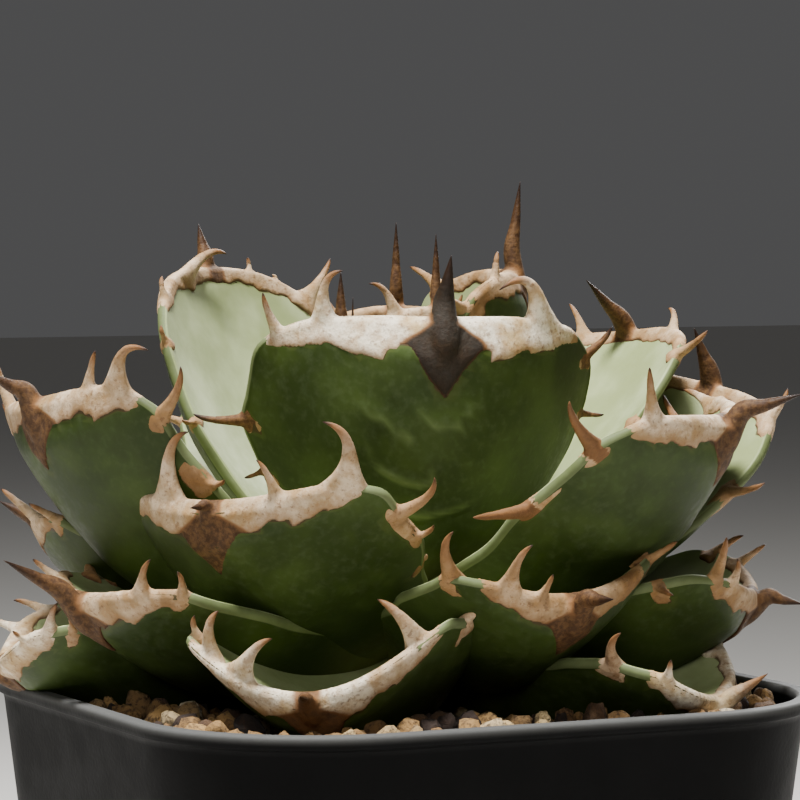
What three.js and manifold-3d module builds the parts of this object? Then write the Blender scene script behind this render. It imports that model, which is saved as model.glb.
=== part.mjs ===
// A potted Agave titanota: one compact rosette of thick toothed leaves, in a square black nursery pot
// filled with grit. Millimetres, +Z up. The origin is the middle of the pot's underside, and the pot's
// sides lie along X and Y. Each leaf is two solids: its green flesh, and the horny rim that grows round
// its edge with the teeth and the end spine.
import * as THREE from "three";
import { mergeVertices } from "three/addons/utils/BufferGeometryUtils.js";
import Module from "manifold-3d";

const wasm = await Module();
wasm.setup();

// Pot: 10.5 cm across its rim
const pot = {
  side: 105,
  corner: 27,
  height: 92,
  footSide: 84,
  footCorner: 20,
  wall: 1.5,
  floor: 2.2,
  lipStand: 1.1,
  lipHeight: 2.0,
  cornerSteps: 4,
  drainRing: 24,
  drainRadius: 4,
  drains: 6,
};

// Filling: soil up to a level below the rim, and a bed of small stones on it
const bed = { top: 79, stoneBase: 87, hole: 8.6, holeFloor: 54, fromWall: 0.4 };
const stones = { innerRadius: 46, spacing: 8.8, small: 2.9, large: 4.2, stand: 1.6, fromWall: 0.4 };

// Stem: a short trunk that carries every leaf
const stem = { rootEnd: 56, rootRadius: 3.5, neckRadius: 8, crown: 113, crownRadius: 4.2, tip: 118 };

// Rosette: leaves follow a spiral of 137.5 degrees a leaf, from the youngest to the oldest
const spiral = { start: 11.5, step: 137.5, innerHeight: 112, outerHeight: 96.5, innerRadius: 2.5, outerRadius: 6 };
const shape = { widest: 0.62, foot: 0.42, edge: 1.7, tipThin: 0.55, narrowest: 0.4 };

// Horny rim: how wide it lies low down and near the tip, how far it stands proud of the blade and over its
// edge, how far below the lowest tooth it starts, and the width of blade from which it is at its full size
const rim = { low: 1.2, tip: 3.2, from: 0.55, full: 0.8, proud: 0.35, overhang: 0.7, below: 0.06, blade: 36 };

// Teeth: how deep the root sits, half-width at the root as a share of the length and a plain amount, and
// half-thickness. The end spine: its root on the lower face, its neck, and half-sizes along it
const teeth = { sunk: 0.9, widthShare: 0.27, width: 0.7, thick: 1.1 };
const spine = {
  root: 0.72,
  rootSunk: 0.5,
  neckDown: 2,
  neckOut: 0.4,
  keelBack: 1.2,
  keelDown: 0.8,
  places: [0.22, 0.6, 1],
  wide: [0.7, 5.2, 1.9, 1.15, 0],
  deep: [0.9, 2.1, 1.8, 1.15, 0],
  blade: 40,
};

// Clear space between the solids, and how much more a leaf's room takes all round
const fit = { gap: 0.3, roomSide: 0.5, roomFace: 0.15 };

// One row for each leaf, youngest first. nudge, rise, curl, roll and sway are in degrees: how far it sits
// off the spiral, how steeply it leaves the stem, how much it curves up, how it is rolled about its own
// length and bent sideways. length and width are the blade's, cup is how far its edges stand up, thick is
// its thickness at the middle and blunt how pointed its end is. spine is the end spine's length, its lift
// above the blade and its turn to the side. Each tooth is its place along the edge (0 at the stem, 0.5 at
// the widest place, 1 at the tip), its length, its sweep towards the tip, its further hook and its lift off
// the upper face. An edge without a list gets its teeth from a rule.
const leaves = [
  { rise: 84, curl: 4, length: 26, width: 9, cup: 2, thick: 4.5, spine: [9, 4, 0] },
  { rise: 82, curl: 5, length: 29, width: 13, cup: 3, thick: 5, spine: [10, 4, 0] },
  { rise: 78, curl: 10, length: 38.5, width: 22, cup: 4, thick: 5.5, spine: [11, 2, 0],
    left: [[0.86, 7, 10, -50, 10], [0.62, 4, 0, 20, 10]] },
  { rise: 76, curl: 12, length: 39, width: 25, cup: 4, thick: 7, spine: [13, 2, 0] },
  { rise: 66, curl: 22, length: 35, width: 32, cup: 5, thick: 7, spine: [11, 2, 0] },
  { nudge: 1, rise: 67.5, curl: 14, roll: 4, sway: -1, length: 47.5, width: 33, cup: 9.5, thick: 8, blunt: 0.63,
    spine: [13.7, 2, 0],
    left: [[0.85, 5, 20, 30, 20], [0.67, 7.2, -11, 12, 44]],
    right: [[0.74, 8, -22, -7, 25], [0.55, 5, 0, 10, 10]] },
  { nudge: 2.7, rise: 34, curl: 42, roll: 4, sway: -1.8, length: 58, width: 49, cup: 5.1, thick: 8, blunt: 0.78,
    spine: [7.3, 0, 0],
    left: [[0.9, 3, 20, 20, 20], [0.81, 2.4, 35, 47, 12], [0.73, 9.3, -3, 18, 27], [0.55, 6, 5, 15, 15]],
    right: [[0.9, 10.6, 67, 39, 29], [0.74, 4, 30, 30, 20], [0.59, 3.5, 31, 37, 23], [0.42, 4, 0, 20, 10]] },
  { nudge: 6, rise: 45, curl: 31.5, roll: -4, sway: -1.2, length: 47.3, width: 51, cup: 11.5, thick: 9,
    blunt: 0.7, spine: [9.5, -1, 4],
    left: [[0.82, 10.1, 13, 52, 11], [0.69, 7.9, 24, 8, 14], [0.43, 8.5, 2, 19, 12], [0.29, 3.4, -9, 7, 11]],
    right: [[0.82, 14.2, 35, 79, 14], [0.6, 7.1, 21, 20, 16], [0.46, 4.5, -9, 12, 9]] },
  { nudge: -6.7, rise: 24, curl: 33.5, roll: -9.5, sway: -8.5, length: 58.6, width: 44.5, cup: 5.6, thick: 9,
    blunt: 0.7, spine: [13, 80, 3],
    left: [[0.85, 6, 40, 40, 20], [0.66, 7, 10, 20, 15], [0.48, 5, 0, 10, 10]],
    right: [[0.92, 6.9, -24, -11, 19], [0.72, 6, 10, 20, 15], [0.52, 5, 0, 10, 10]] },
  { rise: -1, curl: 64, roll: 17, sway: 0.7, length: 61.5, width: 48, cup: 4.7, thick: 9, blunt: 0.48,
    spine: [9, -36, -2],
    right: [[0.92, 6.8, -34, -2, 15], [0.8, 12, -4, -70, 11], [0.61, 10.7, 5, 29, 26], [0.5, 4.9, -16, 24, 8]] },
  { nudge: 3.5, rise: 5, curl: 52.5, roll: 3, sway: 1, length: 57, width: 45.5, cup: 6.8, thick: 9, blunt: 0.48,
    spine: [12, -40, 0],
    left: [[0.8, 9.4, -6, 5, 25], [0.59, 12.2, 8, 24, 36], [0.47, 11.4, -25, 5, 16]],
    right: [[0.74, 9.3, -66, -10, 34], [0.56, 9.8, -8, 17, 58]] },
  { rise: 8, curl: 44, length: 57, width: 44, cup: 7, thick: 9, spine: [11, 10, 0] },
  { nudge: -18.5, rise: 0.3, curl: 49, roll: 5, sway: 5.3, length: 45.4, width: 47.7, cup: 6.9, thick: 9,
    blunt: 0.47, spine: [5, -50, 10],
    left: [[0.96, 13.4, 13, 48, 29], [0.7, 11.5, 45, 53, 35]],
    right: [[0.94, 6.6, 1, 20, 14], [0.75, 14, 3, 59, 22], [0.52, 10.7, 10, 41, 25], [0.46, 5.9, 21, 24, 14],
      [0.34, 2.6, 41, 39, 13]] },
  { nudge: 1, rise: 8.5, curl: 51, roll: 15.5, sway: -2.2, length: 61, width: 45, cup: 2.8, thick: 9, blunt: 0.59,
    spine: [10.5, 56, 9],
    left: [[0.78, 6, 10, 30, 20], [0.53, 7.4, 18, 21, 10]] },
  { rise: -6, curl: 40, length: 54, width: 42, cup: 8, thick: 9, spine: [9, -10, 0] },
  { nudge: 6.5, rise: -8.9, curl: 38.4, roll: 1.6, sway: -2.9, length: 42, width: 38, cup: 6.4, thick: 9,
    blunt: 0.42, spine: [8.9, -23, -7],
    left: [[0.98, 4.9, -6, -1, 18], [0.91, 9.3, -8, 31, 25], [0.66, 11.6, 29, 34, 36]],
    right: [[0.7, 5.9, 3, 19, 18], [0.6, 8.2, 71, 42, 40], [0.47, 6.5, -56, -15, 33]] },
  { rise: -6, curl: 34, length: 54, width: 42, cup: 8, thick: 9, spine: [9, -10, 0] },
  { nudge: -5, rise: -8.7, curl: 36, length: 49, width: 40, cup: 4.9, thick: 9, blunt: 0.6, spine: [13, 1, -1],
    left: [[0.8, 5, 10, 20, 20], [0.6, 8.1, -29, -12, 37], [0.53, 3.2, -9, 14, 19]],
    right: [[0.82, 7.7, -25, -20, 28], [0.67, 6.5, 9, 21, 30]] },
  { nudge: -1, rise: -10, curl: 37, roll: 0.8, length: 50, width: 40, cup: 8.2, thick: 9, blunt: 0.63,
    spine: [7, -38, -2],
    left: [[0.86, 6.1, -34, -19, 24], [0.78, 9.4, -20, -3, 30], [0.58, 5.2, 6, 19, -17]] },
  { rise: -8, curl: 28, length: 54, width: 40, cup: 8, thick: 9, spine: [9, -6, 0] },
  { nudge: -7, rise: -27, curl: 49, roll: 4.5, sway: -5, length: 46.7, width: 38, cup: 11, thick: 8.5, blunt: 0.5,
    spine: [6, -9, 0],
    left: [[0.57, 9, -30, -20, 60], [0.45, 9, -10, 0, 80], [0.28, 6, -20, -10, 50]],
    right: [[0.75, 14, 45, 50, 47], [0.31, 8, 20, 15, 60], [0.22, 9, 5, 16, -8]] },
  { rise: -10, curl: 22, length: 54, width: 38, cup: 7, thick: 8.5, spine: [9, -6, 0] },
  { nudge: 2, rise: -10.4, curl: 19.6, sway: 0.9, length: 54, width: 38, cup: 8.3, thick: 8.5, spine: [9, -5, 0],
    right: [[0.78, 4, -22, 7, 21], [0.69, 8.1, -32, -12, 31], [0.61, 4.8, -7, 15, 30]] },
  { nudge: 16, rise: -16.5, curl: 25, roll: 1, sway: -5, length: 47.6, width: 33.6, cup: 7.3, thick: 8,
    spine: [8.6, 25, -2],
    left: [[0.78, 6.1, -24, 5, 29], [0.58, 9.9, 14, 37, 40]],
    right: [[0.82, 3, -75, -34, 6], [0.73, 5.5, -62, -2, 16], [0.63, 8.3, -26, 6, 33]] },
];
const usual = { nudge: 0, roll: 0, sway: 0, blunt: 0.62 };

const leafCount = leaves.length;
const up = new THREE.Vector3(0, 0, 1);
const radians = THREE.MathUtils.degToRad;
const mix = THREE.MathUtils.lerp;
const smooth = THREE.MathUtils.smoothstep;

// Solids from geometry and back
function solidOf(geometry) {
  const bare = new THREE.BufferGeometry();
  bare.setAttribute("position", geometry.getAttribute("position"));
  if (geometry.index) bare.setIndex(geometry.index);
  const merged = mergeVertices(bare, 1e-4);
  const vertProperties = merged.attributes.position.array;
  const corners = merged.index.array;
  const kept = [];
  for (let n = 0; n < corners.length; n += 3) {
    const [a, b, c] = corners.slice(n, n + 3);
    if (a !== b && b !== c && c !== a) kept.push(a, b, c);
  }
  const triVerts = new Uint32Array(kept);
  return new wasm.Manifold(new wasm.Mesh({ numProp: 3, vertProperties, triVerts }));
}

function geometryOf(solid) {
  const { vertProperties, triVerts } = solid.getMesh();
  const geometry = new THREE.BufferGeometry();
  geometry.setAttribute("position", new THREE.BufferAttribute(vertProperties, 3));
  geometry.setIndex(new THREE.BufferAttribute(triVerts, 1));
  const flat = geometry.toNonIndexed();
  flat.computeVertexNormals();
  return flat;
}

function joined(solids) {
  return solids.reduce((sum, solid) => sum.add(solid));
}

function largest(solid) {
  return solid.decompose().reduce((best, body) => (body.volume() > best.volume() ? body : best));
}

// A closed solid through rings of points. Each ring runs along its upper row and back along its lower one.
function loft(rings) {
  const size = rings[0].length;
  const half = size / 2;
  const points = rings.flat();
  const faces = [];
  const quad = (a, b, c, d) => faces.push(a, b, c, a, c, d);
  for (let i = 0; i + 1 < rings.length; i++) {
    for (let k = 0; k < size; k++) {
      const near = i * size + k;
      const next = i * size + ((k + 1) % size);
      if (k < half) quad(near, next, next + size, near + size);
      else quad(next, next + size, near + size, near);
    }
  }
  const last = (rings.length - 1) * size;
  for (let low = 0, high = size - 1; low + 1 < high; low++, high--) {
    quad(high, high - 1, low + 1, low);
    quad(last + low, last + low + 1, last + high - 1, last + high);
  }
  const volume = faces.reduce((sum, _, n) => {
    if (n % 3) return sum;
    const [a, b, c] = [points[faces[n]], points[faces[n + 1]], points[faces[n + 2]]];
    return sum + a.dot(b.clone().cross(c));
  }, 0);
  if (volume < 0) faces.reverse();
  const geometry = new THREE.BufferGeometry().setFromPoints(points);
  geometry.setIndex(faces);
  return solidOf(geometry);
}

// A tapered horn along a bent path: a ring of the given half-width and half-thickness at each point
function horn(path, across, through, wide, deep, sides) {
  const rings = path.map((point, i) =>
    Array.from({ length: sides }, (_, k) => {
      const turn = (Math.PI * 2 * (k + 0.5)) / sides;
      return point
        .clone()
        .addScaledVector(across, wide[i] * Math.cos(turn))
        .addScaledVector(through, deep[i] * Math.sin(turn));
    }),
  );
  return loft(rings);
}

// A leaf's own frame and outline
function leafFrame(row, index) {
  const leaf = { ...usual, ...row, index };
  const age = index / (leafCount - 1);
  const turn = radians(spiral.start + spiral.step * index + leaf.nudge);
  const out = new THREE.Vector3(Math.cos(turn), Math.sin(turn), 0);
  const side = new THREE.Vector3(-Math.sin(turn), Math.cos(turn), 0);
  const height = mix(spiral.innerHeight, spiral.outerHeight, age);
  const base = out.clone().multiplyScalar(mix(spiral.innerRadius, spiral.outerRadius, age)).setZ(height);
  leaf.coarse = leaf.width < 33.5 || !(leaf.left || leaf.right);
  leaf.left ??= ruledTeeth(leaf, -1);
  leaf.right ??= ruledTeeth(leaf, 1);
  return { ...leaf, age, out, side, base };
}

// Teeth of an edge that has no list: largest near the tip, each a little unlike the last
function ruledTeeth(leaf, sign) {
  const count = leaf.width < 20 ? 1 : leaf.coarse ? 2 : 3;
  return Array.from({ length: count }, (_, i) => {
    const wave = Math.sin(leaf.index * 12.9898 + i * 78.233 + sign * 3.7);
    const size = (0.19 - 0.035 * i) * leaf.width * (1 + 0.2 * wave);
    return [0.84 - 0.17 * i + 0.025 * wave, size, 12 + 16 * wave, 24 + 22 * wave, 16 + 8 * wave];
  });
}

// Place along the blade's length, 0 to 1, of a place along its edge
function along(leaf, place) {
  if (place <= 0.5) return shape.widest * place * 2;
  return shape.widest + (1 - shape.widest) * Math.sin((place - 0.5) * Math.PI) ** leaf.blunt;
}

// Half-width as a share of its greatest, at a place along the edge
function outline(leaf, place) {
  if (place <= 0.5) return 1 - (1 - shape.foot) * (1 - place * 2) ** 1.8;
  return Math.max(Math.cos((place - 0.5) * Math.PI), 0) ** leaf.blunt;
}

// The midrib is an arc: its point, its direction and the blade's upward normal there
function midrib(leaf, place, back = 1) {
  const rise = radians(leaf.rise);
  const curl = radians(leaf.curl);
  const share = along(leaf, place) * back;
  const angle = rise + curl * share;
  const forward = (leaf.length * (Math.sin(angle) - Math.sin(rise))) / curl;
  const upward = (leaf.length * (Math.cos(rise) - Math.cos(angle))) / curl;
  const sideways = leaf.length * Math.tan(radians(leaf.sway)) * share * share;
  const point = leaf.base
    .clone()
    .addScaledVector(leaf.out, forward)
    .addScaledVector(up, upward)
    .addScaledVector(leaf.side, sideways);
  const heading = leaf.out.clone().multiplyScalar(Math.cos(angle)).addScaledVector(up, Math.sin(angle));
  const rollTurn = radians(leaf.roll) * share;
  const normal = up.clone().multiplyScalar(Math.cos(angle)).addScaledVector(leaf.out, -Math.sin(angle));
  normal.applyAxisAngle(heading, rollTurn);
  const across = leaf.side.clone().applyAxisAngle(heading, rollTurn);
  return { point, heading, normal, across };
}

function halfWidth(leaf, place) {
  return (leaf.width / 2) * outline(leaf, place);
}

// A point of the blade: x across it as a share of its half-width, and face 1 on the upper side or -1 on the
// lower one. inward moves an edge point in from the rim, towards the blade's middle line and its foot.
function bladePoint(leaf, place, share, face, inward = 0, grow = 0) {
  const back = 1 - (inward / leaf.length) * smooth(place, 0.5, 1);
  const { point, normal, across } = midrib(leaf, place, back);
  const fade = inward > 0 ? smooth(1 - place, 0, 0.12) : 1;
  const half = Math.max(halfWidth(leaf, place) - inward * fade, shape.narrowest);
  const x = share * half;
  const full = Math.max(halfWidth(leaf, place), half);
  const cupping = (leaf.cup * x * x) / (leaf.width / 2) ** 2;
  const middle = mix(leaf.thick, leaf.thick * shape.tipThin, smooth(along(leaf, place), 0.5, 1));
  const depth = face > 0 ? 0 : shape.edge + (middle - shape.edge) * (1 - Math.abs(x / full) ** 1.7);
  return point
    .addScaledVector(across, x + Math.sign(share) * grow)
    .addScaledVector(normal, cupping - depth + face * grow);
}

// How wide the horny rim lies on the blade at a place along the edge
function rimWidth(leaf, place) {
  return mix(rim.low, rim.tip, smooth(place, rim.from, rim.full)) * Math.min(1, leaf.width / rim.blade);
}

// The lowest place that the horny rim reaches, just below the lowest tooth
function rimFoot(leaf) {
  return Math.min(...[...leaf.left, ...leaf.right].map(([place]) => place)) - rim.below;
}

// Places along the edge where the rim is shaped
function rimPlaces(leaf) {
  const steps = leaf.width < 24 ? 3 : leaf.coarse ? 4 : 5;
  return Array.from({ length: steps + 1 }, (_, i) => mix(rimFoot(leaf), 1, i / steps));
}

// A blade through places along its length, each with how far in from the rim its edge lies
function bladeLoft(leaf, rows, grow) {
  const shares = leaf.width < 24 ? [-1, 0, 1] : leaf.coarse ? [-1, -0.4, 0.4, 1] : [-1, -0.5, 0, 0.5, 1];
  const rings = rows.map(([place, inward]) => {
    const row = (face) => shares.map((share) => bladePoint(leaf, place, share, face, inward, grow));
    return [...row(1), ...row(-1).reverse()];
  });
  return loft(rings);
}

// Places where the blade is shaped below the rim: at the stem, half-way and just under the rim's foot
function lowPlaces(leaf) {
  const foot = rimFoot(leaf);
  return [0, foot * 0.55, foot - 0.03];
}

// The green flesh stops short of the horny rim, and steps in just before the rim's foot
function fleshSolid(leaf) {
  const stepIn = rimFoot(leaf) - 0.012;
  const rows = lowPlaces(leaf).map((place) => [place, 0]);
  rimPlaces(leaf).forEach((place, i) => {
    rows.push([i === 0 ? stepIn : place, rimWidth(leaf, place) + fit.gap]);
  });
  return bladeLoft(leaf, rows, 0);
}

// The room that a whole blade takes, rim and all
function bladeRoom(leaf) {
  const places = [...lowPlaces(leaf), ...rimPlaces(leaf)];
  const rows = places.map((place) => [place, -rim.overhang - fit.roomSide]);
  return bladeLoft(leaf, rows, rim.proud + fit.gap + fit.roomFace);
}

// The edge's frame: its point, the way out of the blade, along the edge to the tip, and up
function edgeFrame(leaf, place, sign) {
  const step = 0.01;
  const at = (p) => bladePoint(leaf, p, sign, 1);
  const here = at(place);
  const tangent = at(Math.min(place + step, 1)).sub(at(Math.max(place - step, 0))).normalize();
  const { normal, heading } = midrib(leaf, place);
  const outward = normal.clone().cross(tangent).multiplyScalar(sign).normalize();
  if (place === 1) outward.copy(heading);
  here.addScaledVector(normal, -shape.edge / 2);
  return { here, outward, tangent, normal };
}

// The horny band round the end of the blade, from the foot on one edge, past the tip, to the other foot
function bandSolid(leaf) {
  const places = rimPlaces(leaf);
  const edges = [...places.map((place) => [place, -1]), ...places.slice(0, -1).reverse().map((place) => [place, 1])];
  const rings = edges.map(([place, sign]) => {
    const { here, outward, normal } = edgeFrame(leaf, place, sign);
    const outer = here.addScaledVector(outward, rim.overhang);
    const inward = rimWidth(leaf, place);
    return [
      bladePoint(leaf, place, sign, 1, inward).addScaledVector(normal, rim.proud),
      outer.clone().addScaledVector(normal, shape.edge / 2),
      outer.clone().addScaledVector(normal, -shape.edge / 2),
      bladePoint(leaf, place, sign, -1, inward).addScaledVector(normal, -rim.proud),
    ];
  });
  return loft(rings);
}

// A tooth: a flattened hook that leaves the edge outwards, swept to the tip, and bends on by its hook
function tooth(leaf, sign, [place, size, sweep, hook, lift], grow) {
  const { here, outward, tangent, normal } = edgeFrame(leaf, place, sign);
  const flat = Math.cos(radians(lift));
  const heading = (turn) =>
    outward
      .clone()
      .multiplyScalar(Math.cos(radians(turn)) * flat)
      .addScaledVector(tangent, Math.sin(radians(turn)) * flat)
      .addScaledVector(normal, Math.sin(radians(lift)));
  const root = here.clone().addScaledVector(outward, -teeth.sunk);
  const bend = here.clone().addScaledVector(heading(sweep), size * 0.5);
  const aim = heading(sweep + hook);
  const tip = bend.clone().addScaledVector(aim, size * 0.5 + grow);
  const curve = new THREE.QuadraticBezierCurve3(root, bend, tip);
  const shares = size < 5 ? [0, 1] : size < 9.3 ? [0, 0.5, 1] : [0, 0.33, 0.68, 1];
  const path = shares.map((share) => curve.getPoint(share));
  const rootHalf = teeth.widthShare * size + teeth.width;
  const wide = shares.map((share) => rootHalf * (1 - share) ** 1.3 + grow);
  const deep = shares.map((share) => teeth.thick * (1 - share) ** 0.8 + grow);
  return horn(path, tangent, normal, wide, deep, size < 5 ? 3 : 4);
}

// The end spine: its root is a wedge that runs down the lower face, and it leaves the tip with its own lift
function endSpine(leaf, grow) {
  const [size, lift, turn] = leaf.spine;
  const { point, heading, normal, across } = midrib(leaf, 1);
  const bulk = Math.min(1, leaf.width / spine.blade);
  const aim = heading
    .clone()
    .multiplyScalar(Math.cos(radians(turn)))
    .addScaledVector(across, Math.sin(radians(turn)))
    .multiplyScalar(Math.cos(radians(lift)))
    .addScaledVector(normal, Math.sin(radians(lift)));
  const neck = point.clone().addScaledVector(normal, -spine.neckDown).addScaledVector(heading, spine.neckOut);
  const root = bladePoint(leaf, spine.root, 0, -1).addScaledVector(normal, spine.rootSunk);
  const keel = neck.clone().addScaledVector(heading, -spine.keelBack).addScaledVector(normal, -spine.keelDown);
  const outer = spine.places.map((place) =>
    neck.clone().addScaledVector(aim, place < 1 ? size * place : size + grow),
  );
  const wide = spine.wide.map((half) => half * bulk + grow);
  const deep = spine.deep.map((half) => half * bulk + grow);
  return horn([root, keel, ...outer], across, normal, wide, deep, leaf.coarse ? 4 : 5);
}

// The spine and the teeth, which stand out of the band
function spikes(leaf, grow = 0) {
  const left = leaf.left.map((row) => tooth(leaf, -1, row, grow));
  const right = leaf.right.map((row) => tooth(leaf, 1, row, grow));
  return joined([endSpine(leaf, grow), ...left, ...right]);
}

// Outline of the pot, a square with round corners, at one height
function square(side, corner, height) {
  const points = [];
  const centre = side / 2 - corner;
  const signs = [[1, 1], [-1, 1], [-1, -1], [1, -1]];
  signs.forEach(([sx, sy], quarter) => {
    for (let i = 0; i <= pot.cornerSteps; i++) {
      const turn = ((quarter + i / pot.cornerSteps) * Math.PI) / 2;
      points.push(
        new THREE.Vector3(sx * centre + corner * Math.cos(turn), sy * centre + corner * Math.sin(turn), height),
      );
    }
  });
  return points;
}

// The pot's outline inside its wall by inset, at a height
function potLevel(height, inset) {
  const share = height / pot.height;
  const side = mix(pot.footSide, pot.side, share);
  const corner = mix(pot.footCorner, pot.corner, share);
  return square(side - 2 * inset, corner - inset, height);
}

// A solid through level outlines, from the lowest to the highest
function stack(levels) {
  const size = levels[0].length;
  const points = levels.flat();
  const faces = [];
  for (let i = 0; i + 1 < levels.length; i++) {
    for (let k = 0; k < size; k++) {
      const next = (k + 1) % size;
      faces.push(i * size + k, i * size + next, (i + 1) * size + next);
      faces.push(i * size + k, (i + 1) * size + next, (i + 1) * size + k);
    }
  }
  const top = (levels.length - 1) * size;
  for (let k = 1; k + 1 < size; k++) {
    faces.push(0, k + 1, k);
    faces.push(top, top + k, top + k + 1);
  }
  const geometry = new THREE.BufferGeometry().setFromPoints(points);
  geometry.setIndex(faces);
  return solidOf(geometry);
}

function potSolid(grow = 0) {
  const lipLow = pot.height - pot.lipHeight;
  const stand = -pot.lipStand;
  const outer = [
    potLevel(0, 1 - grow),
    potLevel(1, -grow),
    potLevel(lipLow - 1, -grow),
    potLevel(lipLow, stand - grow),
    potLevel(pot.height - 0.5, stand - grow),
    potLevel(pot.height + grow, stand + 0.5 - grow),
  ];
  const inner = [
    potLevel(pot.floor + grow, pot.wall + grow),
    potLevel(pot.height - 0.4, pot.wall + grow),
    potLevel(pot.height + 1, pot.wall - 0.4 + grow),
  ];
  const drains = Array.from({ length: pot.drains }, (_, i) => {
    const turn = (Math.PI * 2 * (i + 0.5)) / pot.drains;
    const hole = new THREE.CylinderGeometry(pot.drainRadius, pot.drainRadius, pot.floor * 4, 8);
    hole.rotateX(Math.PI / 2);
    hole.translate(pot.drainRing * Math.cos(turn), pot.drainRing * Math.sin(turn), 0);
    return solidOf(hole);
  });
  return stack(outer).subtract(stack(inner)).subtract(joined(drains));
}

// A solid of revolution about the stem's axis, from a profile of radius and height
function turned(profile, segments) {
  const lathe = new THREE.LatheGeometry(
    profile.map(([radius, height]) => new THREE.Vector2(radius, height)),
    segments,
  );
  lathe.rotateX(Math.PI / 2);
  return solidOf(lathe);
}

function stemSolid(grow = 0) {
  const { rootEnd, rootRadius, neckRadius, crown, crownRadius, tip } = stem;
  const profile = [
    [0, rootEnd - grow],
    [rootRadius + grow, rootEnd - grow],
    [neckRadius + grow, bed.top],
    [neckRadius + grow, spiral.outerHeight],
    [crownRadius + grow, crown],
    [0, tip + grow],
  ];
  return turned(profile, 10);
}

function soilSolid() {
  const inset = pot.wall + bed.fromWall;
  const fill = stack([potLevel(pot.floor + bed.fromWall, inset), potLevel(bed.top, inset)]);
  const hole = turned(
    [
      [0, bed.holeFloor],
      [bed.hole, bed.holeFloor],
      [bed.hole, bed.top + 1],
      [0, bed.top + 1],
    ],
    12,
  );
  return fill.subtract(hole);
}

// A stone: a rough lump of few faces, turned and squashed by its own number
function stone(number, radius, x, y, z) {
  const lump = new THREE.IcosahedronGeometry(radius, 0);
  lump.scale(1, 0.8 + 0.2 * Math.sin(number * 2.3), 0.75 + 0.15 * Math.sin(number * 4.1));
  lump.rotateX(number * 1.7);
  lump.rotateZ(number * 2.9);
  lump.translate(x, y, z);
  return solidOf(lump);
}

// The bed of stones, clear of the wall and the stem, as a slab with stones standing out of it
function gritSolid() {
  const inset = pot.wall + bed.fromWall;
  const parts = [stack([potLevel(bed.top, inset), potLevel(bed.stoneBase, inset)])];
  const reach = pot.side / 2 - inset;
  const steps = Math.floor(reach / stones.spacing);
  const corner = pot.corner - inset;
  let number = 0;
  for (let row = -steps; row <= steps; row++) {
    for (let column = -steps; column <= steps; column++) {
      number += 1;
      const radius = mix(stones.small, stones.large, 0.5 + 0.5 * Math.sin(number * 7.7));
      const shift = row % 2 ? 0.5 : 0;
      const x = (column + shift + 0.25 * Math.sin(number * 3.3)) * stones.spacing;
      const y = (row + 0.25 * Math.sin(number * 5.9)) * stones.spacing;
      const overX = Math.max(Math.abs(x) - (reach - corner), 0);
      const overY = Math.max(Math.abs(y) - (reach - corner), 0);
      const inside = Math.hypot(overX, overY) + radius < corner - stones.fromWall;
      if (!inside || Math.hypot(x, y) < stones.innerRadius) continue;
      parts.push(stone(number, radius, x, y, bed.stoneBase + stones.stand));
    }
  }
  const hole = turned(
    [
      [0, bed.top - 1],
      [bed.hole, bed.top - 1],
      [bed.hole, bed.top + 12],
      [0, bed.top + 12],
    ],
    12,
  );
  return joined(parts).subtract(hole);
}

const plastic = { color: 0x161616, roughness: 0.55, metalness: 0 };
const materials = {
  pot: new THREE.MeshStandardMaterial(plastic),
  soil: new THREE.MeshStandardMaterial({ color: 0x6b5138, roughness: 1, metalness: 0 }),
  grit: new THREE.MeshStandardMaterial({ color: 0xb08d5f, roughness: 1, metalness: 0 }),
  stem: new THREE.MeshStandardMaterial({ color: 0x9aa070, roughness: 0.8, metalness: 0 }),
  leaf: new THREE.MeshStandardMaterial({ color: 0x5f7f45, roughness: 0.6, metalness: 0 }),
  rim: new THREE.MeshStandardMaterial({ color: 0xb79b7c, roughness: 0.75, metalness: 0 }),
};

function part(name, solid, material) {
  const mesh = new THREE.Mesh(geometryOf(solid), material);
  mesh.name = name;
  return mesh;
}

const plant = new THREE.Group();
plant.add(part("pot", potSolid(), materials.pot));
plant.add(part("stem", stemSolid(), materials.stem));

// Leaves are cut from the youngest outwards, so each keeps a gap to the stem and to the ones inside it, and
// the lowest ones rest in the bed of stones and on the pot's rim
const frames = leaves.map(leafFrame);
const stemRoom = stemSolid(fit.gap);
const potRoom = potSolid(fit.gap);
const taken = [];
let grit = gritSolid();
let soil = soilSolid();
frames.forEach((leaf) => {
  const number = String(leaf.index + 1).padStart(2, "0");
  const spikeRoom = spikes(leaf, fit.gap);
  let hornBody = bandSolid(leaf).add(spikes(leaf)).subtract(potRoom);
  let fleshBody = fleshSolid(leaf).subtract(spikeRoom).subtract(stemRoom).subtract(potRoom);
  taken.forEach((room) => {
    fleshBody = fleshBody.subtract(room);
    hornBody = hornBody.subtract(room);
  });
  const room = bladeRoom(leaf);
  taken.push(room, spikeRoom);
  grit = grit.subtract(room).subtract(spikeRoom);
  soil = soil.subtract(room);
  plant.add(part(`leaf_${number}`, largest(fleshBody), materials.leaf));
  plant.add(part(`rim_${number}`, largest(hornBody), materials.rim));
});
plant.add(part("soil", largest(soil), materials.soil));
plant.add(part("grit", largest(grit), materials.grit));

export default plant;
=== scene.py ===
import math

import bmesh
import bpy
import numpy as np
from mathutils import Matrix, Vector, kdtree


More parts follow.
